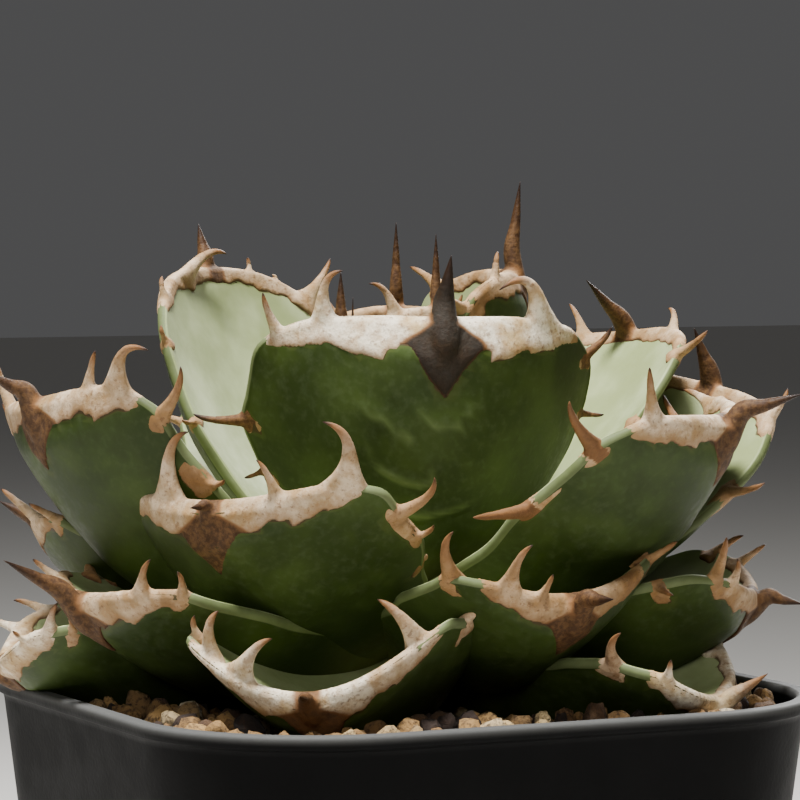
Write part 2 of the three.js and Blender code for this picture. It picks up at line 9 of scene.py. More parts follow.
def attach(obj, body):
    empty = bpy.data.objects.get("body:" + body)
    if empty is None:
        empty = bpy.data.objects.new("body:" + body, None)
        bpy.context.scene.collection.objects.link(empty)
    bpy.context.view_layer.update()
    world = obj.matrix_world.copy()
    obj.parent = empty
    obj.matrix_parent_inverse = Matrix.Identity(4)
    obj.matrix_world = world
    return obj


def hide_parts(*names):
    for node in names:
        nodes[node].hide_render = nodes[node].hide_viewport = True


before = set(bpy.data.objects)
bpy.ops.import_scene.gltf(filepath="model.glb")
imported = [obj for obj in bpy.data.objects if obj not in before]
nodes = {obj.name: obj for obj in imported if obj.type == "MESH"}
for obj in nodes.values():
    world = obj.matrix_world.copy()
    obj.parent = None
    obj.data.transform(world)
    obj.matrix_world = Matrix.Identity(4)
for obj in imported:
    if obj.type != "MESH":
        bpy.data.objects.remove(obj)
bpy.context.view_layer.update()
toMetres = 0.001

# How the spiral sits on the stem, and what all leaves share
rosette = {
    "start": 11.5,
    "step": 137.5,
    "innerHeight": 112,
    "outerHeight": 96.5,
    "innerRadius": 2.5,
    "outerRadius": 6,
    "widest": 0.62,
    "foot": 0.42,
    "edge": 1.7,
}

# One row for each leaf, youngest first. Angles are in degrees: rise off the ground, curl upwards, roll about
# its own length, sway to the side, nudge off the spiral. length, width, cup and thick are the blade's. Each
# tooth is its place along the edge (0 at the stem, 1 at the tip), its length, its sweep to the tip, its
# further hook and its lift off the blade. spine is the end spine's length, lift and turn. pale runs from
# brown horn (0) to chalk white horn (1)
leafRows = [
    {"rise": 84, "curl": 4, "length": 26, "width": 9, "cup": 2, "thick": 4.5, "spine": [9, 4, 0],
     "pale": 0.2},
    {"rise": 82, "curl": 5, "length": 29, "width": 13, "cup": 3, "thick": 5, "spine": [10, 4, 0],
     "pale": 0.2},
    {"rise": 78, "curl": 10, "length": 38.5, "width": 22, "cup": 4, "thick": 5.5, "spine": [11, 2, 0],
     "pale": 0.4,
     "left": [[0.86, 7, 10, -50, 10], [0.62, 4, 0, 20, 10]]},
    {"rise": 76, "curl": 12, "length": 39, "width": 25, "cup": 4, "thick": 7, "spine": [13, 2, 0],
     "pale": 0.2},
    {"rise": 66, "curl": 22, "length": 35, "width": 32, "cup": 5, "thick": 7, "spine": [11, 2, 0],
     "pale": 0.4},
    {"nudge": 1, "rise": 67.5, "curl": 14, "roll": 4, "sway": -1, "length": 47.5, "width": 33, "cup": 9.5,
     "thick": 8, "blunt": 0.63, "spine": [13.7, 2, 0], "pale": 0.25,
     "left": [[0.85, 5, 20, 30, 20], [0.67, 7.2, -11, 12, 44]],
     "right": [[0.74, 8, -22, -7, 25], [0.55, 5, 0, 10, 10]]},
    {"nudge": 2.7, "rise": 34, "curl": 42, "roll": 4, "sway": -1.8, "length": 58, "width": 49, "cup": 5.1,
     "thick": 8, "blunt": 0.78, "spine": [7.3, 0, 0], "pale": 0.35,
     "left": [[0.9, 3, 20, 20, 20], [0.81, 2.4, 35, 47, 12], [0.73, 9.3, -3, 18, 27], [0.55, 6, 5, 15, 15]],
     "right": [[0.9, 10.6, 67, 39, 29], [0.74, 4, 30, 30, 20], [0.59, 3.5, 31, 37, 23],
               [0.42, 4, 0, 20, 10]]},
    {"nudge": 6, "rise": 45, "curl": 31.5, "roll": -4, "sway": -1.2, "length": 47.3, "width": 51,
     "cup": 11.5, "blunt": 0.7, "spine": [9.5, -1, 4], "pale": 0.85, "band": 1.35, "black": 0.95,
     "lowBrown": 0.9, "printHeight": 0.6,
     "prints": [[(-4, 11.5), (0, 13.8), (5, 10)], [(-12.5, 12), (-7, 14.5), (-1, 17.5)],
                [(-10.5, 16), (-9, 20.5), (-2.5, 21.5), (-1.5, 18)], [(-13, 24), (-4, 26.5), (6, 24)]],
     "left": [[0.82, 10.1, 13, 52, 11], [0.69, 7.9, 24, 8, 14], [0.43, 8.5, 2, 19, 12],
              [0.29, 3.4, -9, 7, 11]],
     "right": [[0.82, 14.2, 35, 79, 14], [0.6, 7.1, 21, 20, 16], [0.46, 4.5, -9, 12, 9]]},
    {"nudge": -6.7, "rise": 24, "curl": 33.5, "roll": -9.5, "sway": -8.5, "length": 58.6, "width": 44.5,
     "cup": 5.6, "blunt": 0.7, "spine": [13, 80, 3], "pale": 0.3,
     "left": [[0.85, 6, 40, 40, 20], [0.66, 7, 10, 20, 15], [0.48, 5, 0, 10, 10]],
     "right": [[0.92, 6.9, -24, -11, 19], [0.72, 6, 10, 20, 15], [0.52, 5, 0, 10, 10]]},
    {"rise": -1, "curl": 64, "roll": 17, "sway": 0.7, "length": 61.5, "width": 48, "cup": 4.7,
     "blunt": 0.48, "spine": [9, -36, -2], "pale": 0.4,
     "right": [[0.92, 6.8, -34, -2, 15], [0.8, 12, -4, -70, 11], [0.61, 10.7, 5, 29, 26],
               [0.5, 4.9, -16, 24, 8]]},
    {"nudge": 3.5, "rise": 5, "curl": 52.5, "roll": 3, "sway": 1, "length": 57, "width": 45.5, "cup": 6.8,
     "blunt": 0.48, "spine": [12, -40, 0], "pale": 0.45, "lowBrown": 0.6,
     "left": [[0.8, 9.4, -6, 5, 25], [0.59, 12.2, 8, 24, 36], [0.47, 11.4, -25, 5, 16]],
     "right": [[0.74, 9.3, -66, -10, 34], [0.56, 9.8, -8, 17, 58]]},
    {"rise": 8, "curl": 44, "length": 57, "width": 44, "cup": 7, "spine": [11, 10, 0], "pale": 0.4},
    {"nudge": -18.5, "rise": 0.3, "curl": 49, "roll": 5, "sway": 5.3, "length": 45.4, "width": 47.7,
     "cup": 6.9, "blunt": 0.47, "spine": [5, -50, 10], "pale": 0.45,
     "left": [[0.96, 13.4, 13, 48, 29], [0.7, 11.5, 45, 53, 35]],
     "right": [[0.94, 6.6, 1, 20, 14], [0.75, 14, 3, 59, 22], [0.52, 10.7, 10, 41, 25],
               [0.46, 5.9, 21, 24, 14], [0.34, 2.6, 41, 39, 13]]},
    {"nudge": 1, "rise": 8.5, "curl": 51, "roll": 15.5, "sway": -2.2, "length": 61, "width": 45, "cup": 2.8,
     "blunt": 0.59, "spine": [10.5, 56, 9], "pale": 0.35,
     "left": [[0.78, 6, 10, 30, 20], [0.53, 7.4, 18, 21, 10]]},
    {"rise": -6, "curl": 40, "length": 54, "width": 42, "cup": 8, "spine": [9, -10, 0], "pale": 0.4},
    {"nudge": 6.5, "rise": -8.9, "curl": 38.4, "roll": 1.6, "sway": -2.9, "length": 42, "width": 38,
     "cup": 6.4, "blunt": 0.42, "spine": [8.9, -23, -7], "pale": 0.22, "bandFoot": 0.8, "band": 0.8,
     "left": [[0.98, 4.9, -6, -1, 18], [0.91, 9.3, -8, 31, 25], [0.66, 11.6, 29, 34, 36]],
     "right": [[0.7, 5.9, 3, 19, 18], [0.6, 8.2, 71, 42, 40], [0.47, 6.5, -56, -15, 33]]},
    {"rise": -6, "curl": 34, "length": 54, "width": 42, "cup": 8, "spine": [9, -10, 0], "pale": 0.5},
    {"nudge": -5, "rise": -8.7, "curl": 36, "length": 49, "width": 40, "cup": 4.9, "blunt": 0.6,
     "spine": [13, 1, -1], "pale": 0.35,
     "left": [[0.8, 5, 10, 20, 20], [0.6, 8.1, -29, -12, 37], [0.53, 3.2, -9, 14, 19]],
     "right": [[0.82, 7.7, -25, -20, 28], [0.67, 6.5, 9, 21, 30]]},
    {"nudge": -1, "rise": -10, "curl": 37, "roll": 0.8, "length": 50, "width": 40, "cup": 8.2,
     "blunt": 0.63, "spine": [7, -38, -2], "pale": 0.3, "bandFoot": 0.8, "band": 0.8,
     "left": [[0.86, 6.1, -34, -19, 24], [0.78, 9.4, -20, -3, 30], [0.58, 5.2, 6, 19, -17]]},
    {"rise": -8, "curl": 28, "length": 54, "width": 40, "cup": 8, "spine": [9, -6, 0], "pale": 0.6},
    {"nudge": -7, "rise": -27, "curl": 49, "roll": 4.5, "sway": -5, "length": 46.7, "width": 38, "cup": 11,
     "thick": 8.5, "blunt": 0.5, "spine": [6, -9, 0], "pale": 0.85, "bandFoot": 0.78, "lowBrown": 0.05,
     "bare": 0.75,
     "left": [[0.9, 12.5, 52, 44, 46], [0.78, 11.5, 52, 44, 57], [0.64, 5.8, 72, 28, 58]],
     "right": [[0.76, 14, 70, 40, 50], [0.55, 7.4, 6, 9, 44], [0.4, 7.4, 8, 15, -11]]},
    {"rise": -10, "curl": 22, "length": 54, "width": 38, "cup": 7, "thick": 8.5, "spine": [9, -6, 0],
     "pale": 0.8},
    {"nudge": 2, "rise": -10.4, "curl": 19.6, "sway": 0.9, "length": 54, "width": 38, "cup": 8.3,
     "thick": 8.5, "spine": [9, -5, 0], "pale": 0.7,
     "right": [[0.78, 4, -22, 7, 21], [0.69, 8.1, -32, -12, 31], [0.61, 4.8, -7, 15, 30]]},
    {"nudge": 16, "rise": -16.5, "curl": 25, "roll": 1, "sway": -5, "length": 47.6, "width": 33.6,
     "cup": 7.3, "thick": 8, "spine": [8.6, 25, -2], "pale": 1, "bare": 0.3, "band": 0.75,
     "left": [[0.78, 6.1, -24, 5, 29], [0.58, 9.9, 14, 37, 40]],
     "right": [[0.82, 3, -75, -34, 6], [0.73, 5.5, -62, -2, 16], [0.63, 8.3, -26, 6, 33]]},
]
# What a row leaves out. blunt is how square the tip is, band how broad the horn lies and bandFoot where it
# ends down the edge. black and bare are how black and how bare the end spine is, and lowBrown how brown the
# teeth below the band are. prints are ridges on the back, each a line of points across and down from the tip
usualLeaf = {
    "nudge": 0,
    "roll": 0,
    "sway": 0,
    "thick": 9,
    "blunt": 0.62,
    "band": 1,
    "bandFoot": 0.68,
    "black": 0.3,
    "bare": 1,
    "lowBrown": 0.25,
    "prints": [[(-8, 11), (0, 17), (8, 11)]],
    "printHeight": 0.2,
}

# Edges without a list of teeth: few on narrow leaves, smaller towards the stem, and no two alike
ruled = {"first": 0.84, "apart": 0.17, "size": 0.19, "shrink": 0.035, "sweep": 12, "hook": 24, "lift": 16}


def smooth(value, low, high):
    share = np.clip((value - low) / (high - low), 0, 1)
    return share * share * (3 - 2 * share)


def mix(a, b, share):
    return a + (b - a) * share


def unit(vectors):
    return vectors / np.maximum(np.linalg.norm(vectors, axis=-1, keepdims=True), 1e-9)


def turned(vectors, axis, angle):
    cosine = np.cos(angle)[..., None]
    sine = np.sin(angle)[..., None]
    return vectors * cosine + np.cross(axis, vectors) * sine


def ruledTeeth(leaf, sign):
    count = 1 if leaf["width"] < 20 else 2 if leaf["coarse"] else 3
    teeth = []
    for i in range(count):
        wave = math.sin(leaf["index"] * 12.9898 + i * 78.233 + sign * 3.7)
        place = ruled["first"] - ruled["apart"] * i + 0.025 * wave
        size = (ruled["size"] - ruled["shrink"] * i) * leaf["width"] * (1 + 0.2 * wave)
        bend = [ruled["sweep"] + 16 * wave, ruled["hook"] + 22 * wave, ruled["lift"] + 8 * wave]
        teeth.append([place, size, *bend])
    return teeth


def leafFrame(row, index):
    leaf = {**usualLeaf, **row, "index": index}
    age = index / (len(leafRows) - 1)
    turn = math.radians(rosette["start"] + rosette["step"] * index + leaf["nudge"])
    leaf["out"] = np.array([math.cos(turn), math.sin(turn), 0.0])
    leaf["side"] = np.array([-math.sin(turn), math.cos(turn), 0.0])
    leaf["base"] = leaf["out"] * mix(rosette["innerRadius"], rosette["outerRadius"], age)
    leaf["base"][2] = mix(rosette["innerHeight"], rosette["outerHeight"], age)
    leaf["coarse"] = leaf["width"] < 33.5 or not ("left" in leaf or "right" in leaf)
    leaf["left"] = leaf.get("left") or ruledTeeth(leaf, -1)
    leaf["right"] = leaf.get("right") or ruledTeeth(leaf, 1)
    leaf["rimFoot"] = min(tooth[0] for tooth in leaf["left"] + leaf["right"]) - 0.06
    leaf["placeTable"] = np.linspace(0, 1, 801)
    leaf["alongTable"] = along(leaf, leaf["placeTable"])
    return leaf


# How far along the leaf a place lies, as a share of its length, and how wide it is there
def along(leaf, place):
    low = rosette["widest"] * place * 2
    turn = np.clip(place - 0.5, 0, 0.5) * math.pi
    high = rosette["widest"] + (1 - rosette["widest"]) * np.sin(turn) ** leaf["blunt"]
    return np.where(place <= 0.5, low, high)


def outline(leaf, place):
    low = 1 - (1 - rosette["foot"]) * np.clip(1 - place * 2, 0, 1) ** 1.8
    turn = np.clip(place - 0.5, 0, 0.5) * math.pi
    high = np.maximum(np.cos(turn), 0) ** leaf["blunt"]
    return np.where(place <= 0.5, low, high)


# The middle of the upper face, and the ways along it, off it and across it
def midrib(leaf, place, back=1.0):
    rise = math.radians(leaf["rise"])
    curl = math.radians(leaf["curl"])
    share = along(leaf, place) * back
    angle = rise + curl * share
    forward = leaf["length"] * (np.sin(angle) - math.sin(rise)) / curl
    upward = leaf["length"] * (math.cos(rise) - np.cos(angle)) / curl
    sideways = leaf["length"] * math.tan(math.radians(leaf["sway"])) * share**2
    up = np.array([0.0, 0.0, 1.0])
    point = (
        leaf["base"]
        + leaf["out"] * forward[..., None]
        + up * upward[..., None]
        + leaf["side"] * sideways[..., None]
    )
    heading = leaf["out"] * np.cos(angle)[..., None] + up * np.sin(angle)[..., None]
    normal = up * np.cos(angle)[..., None] - leaf["out"] * np.sin(angle)[..., None]
    roll = math.radians(leaf["roll"]) * share
    normal = turned(normal, heading, roll)
    across = turned(np.broadcast_to(leaf["side"], heading.shape), heading, roll)
    return point, heading, normal, across


def edgeTeeth(leaf, sign):
    return leaf["left"] if sign < 0 else leaf["right"]


# The edge swells a little where a tooth stands and dips between teeth
def scallop(leaf, place, sign):
    swell = np.zeros_like(place)
    reach = leaf["length"] * 0.9
    for row in edgeTeeth(leaf, sign):
        swell = swell + 0.1 * row[1] * np.exp(-(((place - row[0]) * reach / (0.5 * row[1] + 1.2)) ** 2))
    wave = 0.25 * np.sin(place * 31 + leaf["index"] * 2.1 + sign)
    return (swell - 0.45 + wave) * smooth(place, 0.12, 0.3) * smooth(1 - place, 0.01, 0.08)


# A point of the blade: share runs across from the left edge (-1) to the right (1), face is 1 on the upper
# side, and inward is how far in from the edge it lies
def bladePoint(leaf, place, share, face, inward=0.0, lumpy=True):
    place, share = np.broadcast_arrays(np.asarray(place, float), np.asarray(share, float))
    inward = np.broadcast_to(np.asarray(inward, float), place.shape)
    back = 1 - (inward / leaf["length"]) * smooth(place, 0.5, 1)
    point, _, normal, across = midrib(leaf, place, back)
    fade = np.where(inward > 0, smooth(1 - place, 0, 0.12), 1)
    wide = leaf["width"] / 2 * outline(leaf, place)
    if lumpy:
        swell = np.where(share > 0, scallop(leaf, place, 1), scallop(leaf, place, -1))
        wide = wide + swell * np.abs(share) ** 3
    half = np.maximum(wide - inward * fade, 0.4)
    x = share * half
    share = along(leaf, place) * back
    fullWidth = leaf["width"] / 2 * outline(leaf, np.interp(share, leaf["alongTable"], leaf["placeTable"]))
    full = np.maximum(fullWidth, half)
    cupping = leaf["cup"] * x**2 / (leaf["width"] / 2) ** 2
    middle = mix(leaf["thick"], leaf["thick"] * 0.55, smooth(share, 0.5, 1))
    middle = middle * mix(1, 0.55, smooth(share, 0.9, 1))
    lower = rosette["edge"] + (middle - rosette["edge"]) * (1 - np.abs(x / full) ** 1.7)
    depth = 0 if face > 0 else lower
    rise = cupping - depth
    return point + across * x[..., None] + normal * rise[..., None]


# The middle of the edge, and the ways out of the leaf, along its edge and off its face
def edgeFrame(leaf, place, sign, lumpy=False):
    place = np.asarray(place, float)
    step = 0.01
    here = bladePoint(leaf, place, sign, 1, lumpy=lumpy)
    ahead = bladePoint(leaf, np.minimum(place + step, 1), sign, 1, lumpy=lumpy)
    behind = bladePoint(leaf, np.maximum(place - step, 0), sign, 1, lumpy=lumpy)
    tangent = unit(ahead - behind)
    _, heading, normal, _ = midrib(leaf, place)
    outward = unit(np.cross(normal, tangent) * sign)
    outward = np.where((place >= 1)[..., None], heading, outward)
    return here - normal * rosette["edge"] / 2, outward, tangent, normal


# The horny band: broad round the tip, gone below bandFoot but for a pad under each low tooth. Under the end
# spine it runs down the lower face in a V. section is how far in and how proud each line of it lies
rimLook = {
    "tip": 2.8,
    "upperTip": 2.2,
    "low": 1.2,
    "tongue": 0.1,
    "proud": 0.26,
    "overhang": 0.6,
    "vDepth": 6.0,
    "vHalf": 4.6,
    "ripples": ((0.16, 43, 1), (0.08, 117, 3)),
    "section": ((1, -0.2), (0.95, 0.5), (0.86, 0.9), (0.72, 1), (0.58, 1), (0.44, 1), (0.3, 1), (0.17, 1),
                (0.08, 1), (0.02, 1)),
    "steps": 120,
}


def rimPresence(leaf, place, sign):
    here = smooth(place, leaf["bandFoot"] - 0.035, leaf["bandFoot"] + 0.035)
    for row in edgeTeeth(leaf, sign):
        here = np.maximum(here, np.exp(-(((place - row[0]) * leaf["length"] / (0.2 * row[1] + 0.5)) ** 4)))
    return here


def rimWidth(leaf, place, sign, face):
    width = (rimLook["tip"] if face < 0 else rimLook["upperTip"]) * leaf["band"]
    width = mix(rimLook["low"], width, smooth(place, leaf["bandFoot"], leaf["bandFoot"] + 0.16))
    for row in edgeTeeth(leaf, sign):
        spread = (place - row[0]) * leaf["length"] / (0.3 * row[1] + 0.8)
        tongue = rimLook["tongue"] * (1 - smooth(np.array(row[0]), 0.84, 0.95))
        width = width + tongue * row[1] * np.exp(-(spread**2))
    phase = leaf["index"] * 1.7 + sign * 2.3 + face
    ripple = sum(part * np.sin(place * count + phase * shift) for part, count, shift in rimLook["ripples"])
    width = width * (1 + ripple)
    if face < 0:
        x = leaf["width"] / 2 * outline(leaf, place) * 40 / max(leaf["width"], 30)
        width = width + rimLook["vDepth"] * np.clip(1 - x / rimLook["vHalf"], 0, 1)
    return width * min(1, leaf["width"] / 40) * mix(0.2, 1, rimPresence(leaf, place, sign))


def bandRings(leaf):
    start = leaf["rimFoot"] - 0.04
    places = mix(start, 1.0, 1 - (1 - np.linspace(0, 1, rimLook["steps"])) ** 1.5)
    rings, marks = [], []
    for sign in (-1, 1):
        here, outward, _, normal = edgeFrame(leaf, places, sign, lumpy=True)
        presence = rimPresence(leaf, places, sign)
        proud = mix(-0.5, rimLook["proud"], presence)
        rows = []
        for face in (1, -1):
            width = rimWidth(leaf, places, sign, face)
            side = []
            for share, lift in rimLook["section"]:
                rise = np.where(presence > 0.5, proud * lift, proud)
                spot = bladePoint(leaf, places, sign, face, width * share)
                side.append(spot + normal * (face * rise)[:, None])
            marks.append(bladePoint(leaf, places, sign, face, width)[presence > 0.4])
            rows.append(side)
        arc = []
        radius = rosette["edge"] / 2 + mix(-0.3, 0.15, presence)
        reach = mix(-0.4, rimLook["overhang"], presence)
        for turn in (70, 35, 0, -35, -70):
            turn = math.radians(turn)
            bulge = outward * (reach * math.cos(turn))[:, None]
            arc.append(here + bulge + normal * (radius * math.sin(turn))[:, None])
        ring = np.stack(rows[0] + arc + rows[1][::-1], axis=1)
        rings.append(ring if sign < 0 else ring[::-1])
    return np.concatenate(rings), np.concatenate(marks)


# A tapered horn through a bent path, with a half-width and half-thickness for each point
def hornRings(path, across, through, wide, deep, sides):
    turn = np.arange(sides) * 2 * math.pi / sides
    across = np.broadcast_to(across, path.shape)
    through = np.broadcast_to(through, path.shape)
    flat = across[:, None] * np.cos(turn)[None, :, None] * np.reshape(wide, (-1, 1, 1))
    thick = through[:, None] * np.sin(turn)[None, :, None] * np.reshape(deep, (-1, 1, 1))
    return path[:, None] + flat + thick


# The side and the thickness direction at each point of a path, carried along it without twist
def carried(path, side):
    ways = unit(np.gradient(path, axis=0))
    sides = []
    for way in ways:
        side = unit(side - way * (side @ way))
        sides.append(side)
    sides = np.array(sides)
    return sides, unit(np.cross(ways, sides))


# A tooth, bent forwards and hooked: how deep its root sits, its half-width and half-thickness at the root as
# a share of its length and a plain amount, how they taper to the least, and how its foot flares
toothLook = {"sunk": 1.6, "wideShare": 0.08, "wide": 0.32, "deepShare": 0.065, "deep": 0.5, "taper": 0.7,
             "least": 0.05, "flareLow": 0.08, "flare": 0.25, "steps": 22, "sides": 14}


def toothRings(leaf, sign, row):
    place, size, sweep, hook, lift = row
    here, outward, tangent, normal = edgeFrame(leaf, place, sign)
    lift = math.radians(lift)

    def aim(turn):
        turn = math.radians(turn)
        flat = outward * math.cos(turn) + tangent * math.sin(turn)
        return flat * math.cos(lift) + normal * math.sin(lift)

    root = here - outward * toothLook["sunk"]
    rise = here + aim(sweep) * size * 0.3
    bend = here + aim(sweep) * size * 0.76
    tip = here + (aim(sweep) + aim(sweep + hook)) * size * 0.5
    share = np.linspace(0, 1, toothLook["steps"])
    path = (
        root * ((1 - share) ** 3)[:, None]
        + rise * (3 * share * (1 - share) ** 2)[:, None]
        + bend * (3 * share**2 * (1 - share))[:, None]
        + tip * (share**3)[:, None]
    )
    inBand = smooth(np.array(place), leaf["bandFoot"] - 0.03, leaf["bandFoot"] + 0.06)
    flare = mix(toothLook["flareLow"], toothLook["flare"], inBand) * size * np.exp(-((share / 0.2) ** 1.4))
    taper = (1 - share) ** toothLook["taper"]
    wide = (toothLook["wideShare"] * size + toothLook["wide"]) * taper + toothLook["least"] + flare
    deep = (toothLook["deep"] + toothLook["deepShare"] * size) * taper + toothLook["least"]
    across, through = carried(path, tangent)
    return hornRings(path, across, through, wide, deep, toothLook["sides"]), path, share


# A smooth line of so many points through all the keys
def bent(keys, count):
    keys = np.asarray(keys, float)
    spots = np.linspace(0, len(keys) - 1, count)
    result = []
    for spot in spots:
        i = min(int(spot), len(keys) - 2)
        t = spot - i
        before = keys[max(i - 1, 0)]
        after = keys[min(i + 2, len(keys) - 1)]
        a, b = keys[i], keys[i + 1]
        lead = (b - before) / 2
        tail = (after - a) / 2
        curve = a * (2 * t**3 - 3 * t**2 + 1) + lead * (t**3 - 2 * t**2 + t)
        result.append(curve + b * (3 * t**2 - 2 * t**3) + tail * (t**3 - t**2))
    return np.array(result)


# The end spine: a keel from low on the leaf's back up to the neck, then the free spine. wide and deep are
# half-sizes at low, slope, neck, middle and tip
spineLook = {"wide": [0.6, 2.1, 1.75, 1.0, 0.05], "deep": [0.6, 1.5, 1.6, 0.95, 0.05], "least": 0.05,
             "lowPlace": 0.68, "steps": 33, "sides": 16}


def spineRings(leaf):
    size, lift, turn = leaf["spine"]
    point, heading, normal, across = midrib(leaf, np.array(1.0))
    bulk = min(1, leaf["width"] / 40) * min(1, size / 8.5)
    lift, turn = math.radians(lift), math.radians(turn)
    aim = (heading * math.cos(turn) + across * math.sin(turn)) * math.cos(lift) + normal * math.sin(lift)
    neck = point - normal * 1.3 + heading * 0.4
    low = bladePoint(leaf, spineLook["lowPlace"], 0, -1) + normal * 0.9
    back = 2.6 * bulk / leaf["length"]
    slopePlace = np.interp(1 - back, leaf["alongTable"], leaf["placeTable"])
    slope = bladePoint(leaf, slopePlace, 0, -1) + normal * 0.1
    keys = [low, slope, neck + aim * size * 0.2, neck + aim * size * 0.55, neck + aim * size]
    steps = spineLook["steps"]
    path = bent(keys, steps)
    wide, deep = [
        np.maximum(bent(np.array(spineLook[half])[:, None], steps)[:, 0] * bulk, spineLook["least"])
        for half in ("wide", "deep")
    ]
    share = np.clip((np.linspace(0, 4, steps) - 0.9) / 3.1, 0, 1)
    across, through = carried(path, across)
    return hornRings(path, across, through, wide, deep, spineLook["sides"]), path, share


# Faces between rings of points, with a cap at both ends
def loftFaces(rows, size, offset):
    faces = []
    for i in range(rows - 1):
        for k in range(size):
            nextK = (k + 1) % size
            a = offset + i * size
            faces.append((a + k, a + nextK, a + size + nextK, a + size + k))
    faces.append(tuple(offset + k for k in reversed(range(size))))
    faces.append(tuple(offset + (rows - 1) * size + k for k in range(size)))
    return faces


def added(name, data):
    thing = bpy.data.objects.new(name, data)
    bpy.context.scene.collection.objects.link(thing)
    return thing


def newPiece(name, points, faces):
    mesh = bpy.data.meshes.new(name)
    mesh.from_pydata(points, [], faces)
    return added(name, mesh)


def closedMesh(name, lofts):
    points, faces = [], []
    for rings in lofts:
        offset = sum(len(block) for block in points)
        faces += loftFaces(len(rings), rings.shape[1], offset)
        points.append(rings.reshape(-1, 3))
    piece = newPiece(name, (np.concatenate(points) * toMetres).tolist(), faces)
    piece.data.validate()
    outwards(piece.data)
    return piece


def smoothShaded(mesh):
    for polygon in mesh.polygons:
        polygon.use_smooth = True


# Doubles merged, and every face turned outwards
def outwards(mesh):
    shape = bmesh.new()
    shape.from_mesh(mesh)
    bmesh.ops.remove_doubles(shape, verts=shape.verts, dist=1e-6)
    bmesh.ops.recalc_face_normals(shape, faces=shape.faces)
    shape.to_mesh(mesh)
    shape.free()


# Turns a piece with its modifiers into a plain mesh
def plain(piece):
    evaluated = piece.evaluated_get(bpy.context.evaluated_depsgraph_get())
    mesh = bpy.data.meshes.new_from_object(evaluated)
    piece.modifiers.clear()
    old = piece.data
    piece.data = mesh
    bpy.data.meshes.remove(old)
    smoothShaded(mesh)


def pointsOf(mesh):
    flat = np.empty(len(mesh.vertices) * 3)
    mesh.vertices.foreach_get("co", flat)
    return flat.reshape(-1, 3) / toMetres


def writeTone(mesh, name, values):
    layer = mesh.attributes.new(name, "FLOAT", "POINT")
    layer.data.foreach_set("value", np.asarray(values, np.float32))


# For each point, the nearest sample's number and how far off it is
def nearest(points, samples):
    tree = kdtree.KDTree(len(samples))
    for i, sample in enumerate(samples):
        tree.insert(sample, i)
    tree.balance()
    found = [tree.find(point) for point in points]
    return np.array([hit[1] for hit in found]), np.array([hit[2] for hit in found])


# Horn of one leaf: band, teeth and end spine, fused into one skin and softened where they join. The fused
# skin loses its finest points, so each tip is set in again as a needle
hornMesh = {"voxel": 0.38, "soften": 3, "needleFrom": 0.5}


def needle(rings, path, share):
    kept = share >= hornMesh["needleFrom"]
    slim = smooth(share[kept], hornMesh["needleFrom"] - 0.1, hornMesh["needleFrom"] + 0.25)
    spine = path[kept][:, None]
    return spine + (rings[kept] - spine) * mix(0.55, 1.0, slim)[:, None, None]


def hornPiece(leaf):
    band, marks = bandRings(leaf)
    spikes = [(*spineRings(leaf), 1.0, 1.0)]
    for sign in (-1, 1):
        spikes += [(*toothRings(leaf, sign, row), 0.0, row[0]) for row in edgeTeeth(leaf, sign)]
    number = leaf["index"] + 1
    piece = closedMesh(f"horn_{number:02d}", [band] + [rings for rings, *_ in spikes])
    remesh = piece.modifiers.new("Fuse", "REMESH")
    remesh.mode = "VOXEL"
    remesh.voxel_size = hornMesh["voxel"] * toMetres
    soften = piece.modifiers.new("Soften", "SMOOTH")
    soften.factor = 0.5
    soften.iterations = hornMesh["soften"]
    plain(piece)
    tips = closedMesh("needles", [needle(*spike[:3]) for spike in spikes])
    joinInto(piece, tips)
    points = pointsOf(piece.data)
    paths = np.concatenate([path for _, path, *_ in spikes])
    shares = np.concatenate([share for _, _, share, *_ in spikes])
    kinds = np.concatenate([np.full(len(path), kind) for _, path, _, kind, _ in spikes])
    stands = np.concatenate([np.full(len(path), stand) for _, path, _, _, stand in spikes])
    hit, gap = nearest(points, paths)
    offBand = smooth(nearest(points, band[::2, ::2].reshape(-1, 3))[1], 0.5, 1.6)
    brink = nearest(points, marks)[1]
    # The end spine's dark patch runs down the leaf's back
    tip, heading, normal, across = midrib(leaf, np.array(1.0))
    down = (tip - points) @ heading
    below = (points - tip) @ normal < -0.4
    bulk = min(1, leaf["width"] / 40)
    swell = np.where(below, mix(0.3, 1, smooth(down, -0.5, 3.2)), 0.3) * (1 - smooth(down, 5.5, 14))
    half = (rimLook["vHalf"] + 1.4) * bulk * swell
    patch = smooth(half - np.abs((points - tip) @ across), -1.4, 1.0)
    # tone rises up each spike, and brink is the distance to the flesh's border. Teeth that stand alone below
    # the band are browner
    writeTone(piece.data, "tone", shares[hit] * offBand)
    writeTone(piece.data, "brink", brink)
    inBand = smooth(stands[hit], leaf["bandFoot"] - 0.06, leaf["bandFoot"] + 0.04)
    alone = leaf["lowBrown"] * (1 - inBand) * (gap < 2)
    spineDark = np.maximum(kinds[hit] * offBand, patch) * leaf["bare"]
    writeTone(piece.data, "dark", np.maximum(spineDark, alone))
    writeTone(piece.data, "pale", leaf["pale"] * mix(0.35, 1, inBand))
    writeTone(piece.data, "black", np.where(kinds[hit] > 0.5, leaf["black"], leaf["black"] * inBand))
    return piece


def joinInto(piece, other):
    shape = bmesh.new()
    shape.from_mesh(piece.data)
    shape.from_mesh(other.data)
    shape.to_mesh(piece.data)
    shape.free()
    bpy.data.objects.remove(other)
    smoothShaded(piece.data)


# Flesh of one leaf: a thick blade with a rounded edge, soft waves and the print of its neighbours
fleshMesh = {"rows": 84, "columns": 45, "wave": 0.16, "bulge": 0.55, "edgeTurns": (50, 0, -50),
             "printHalf": 0.9}


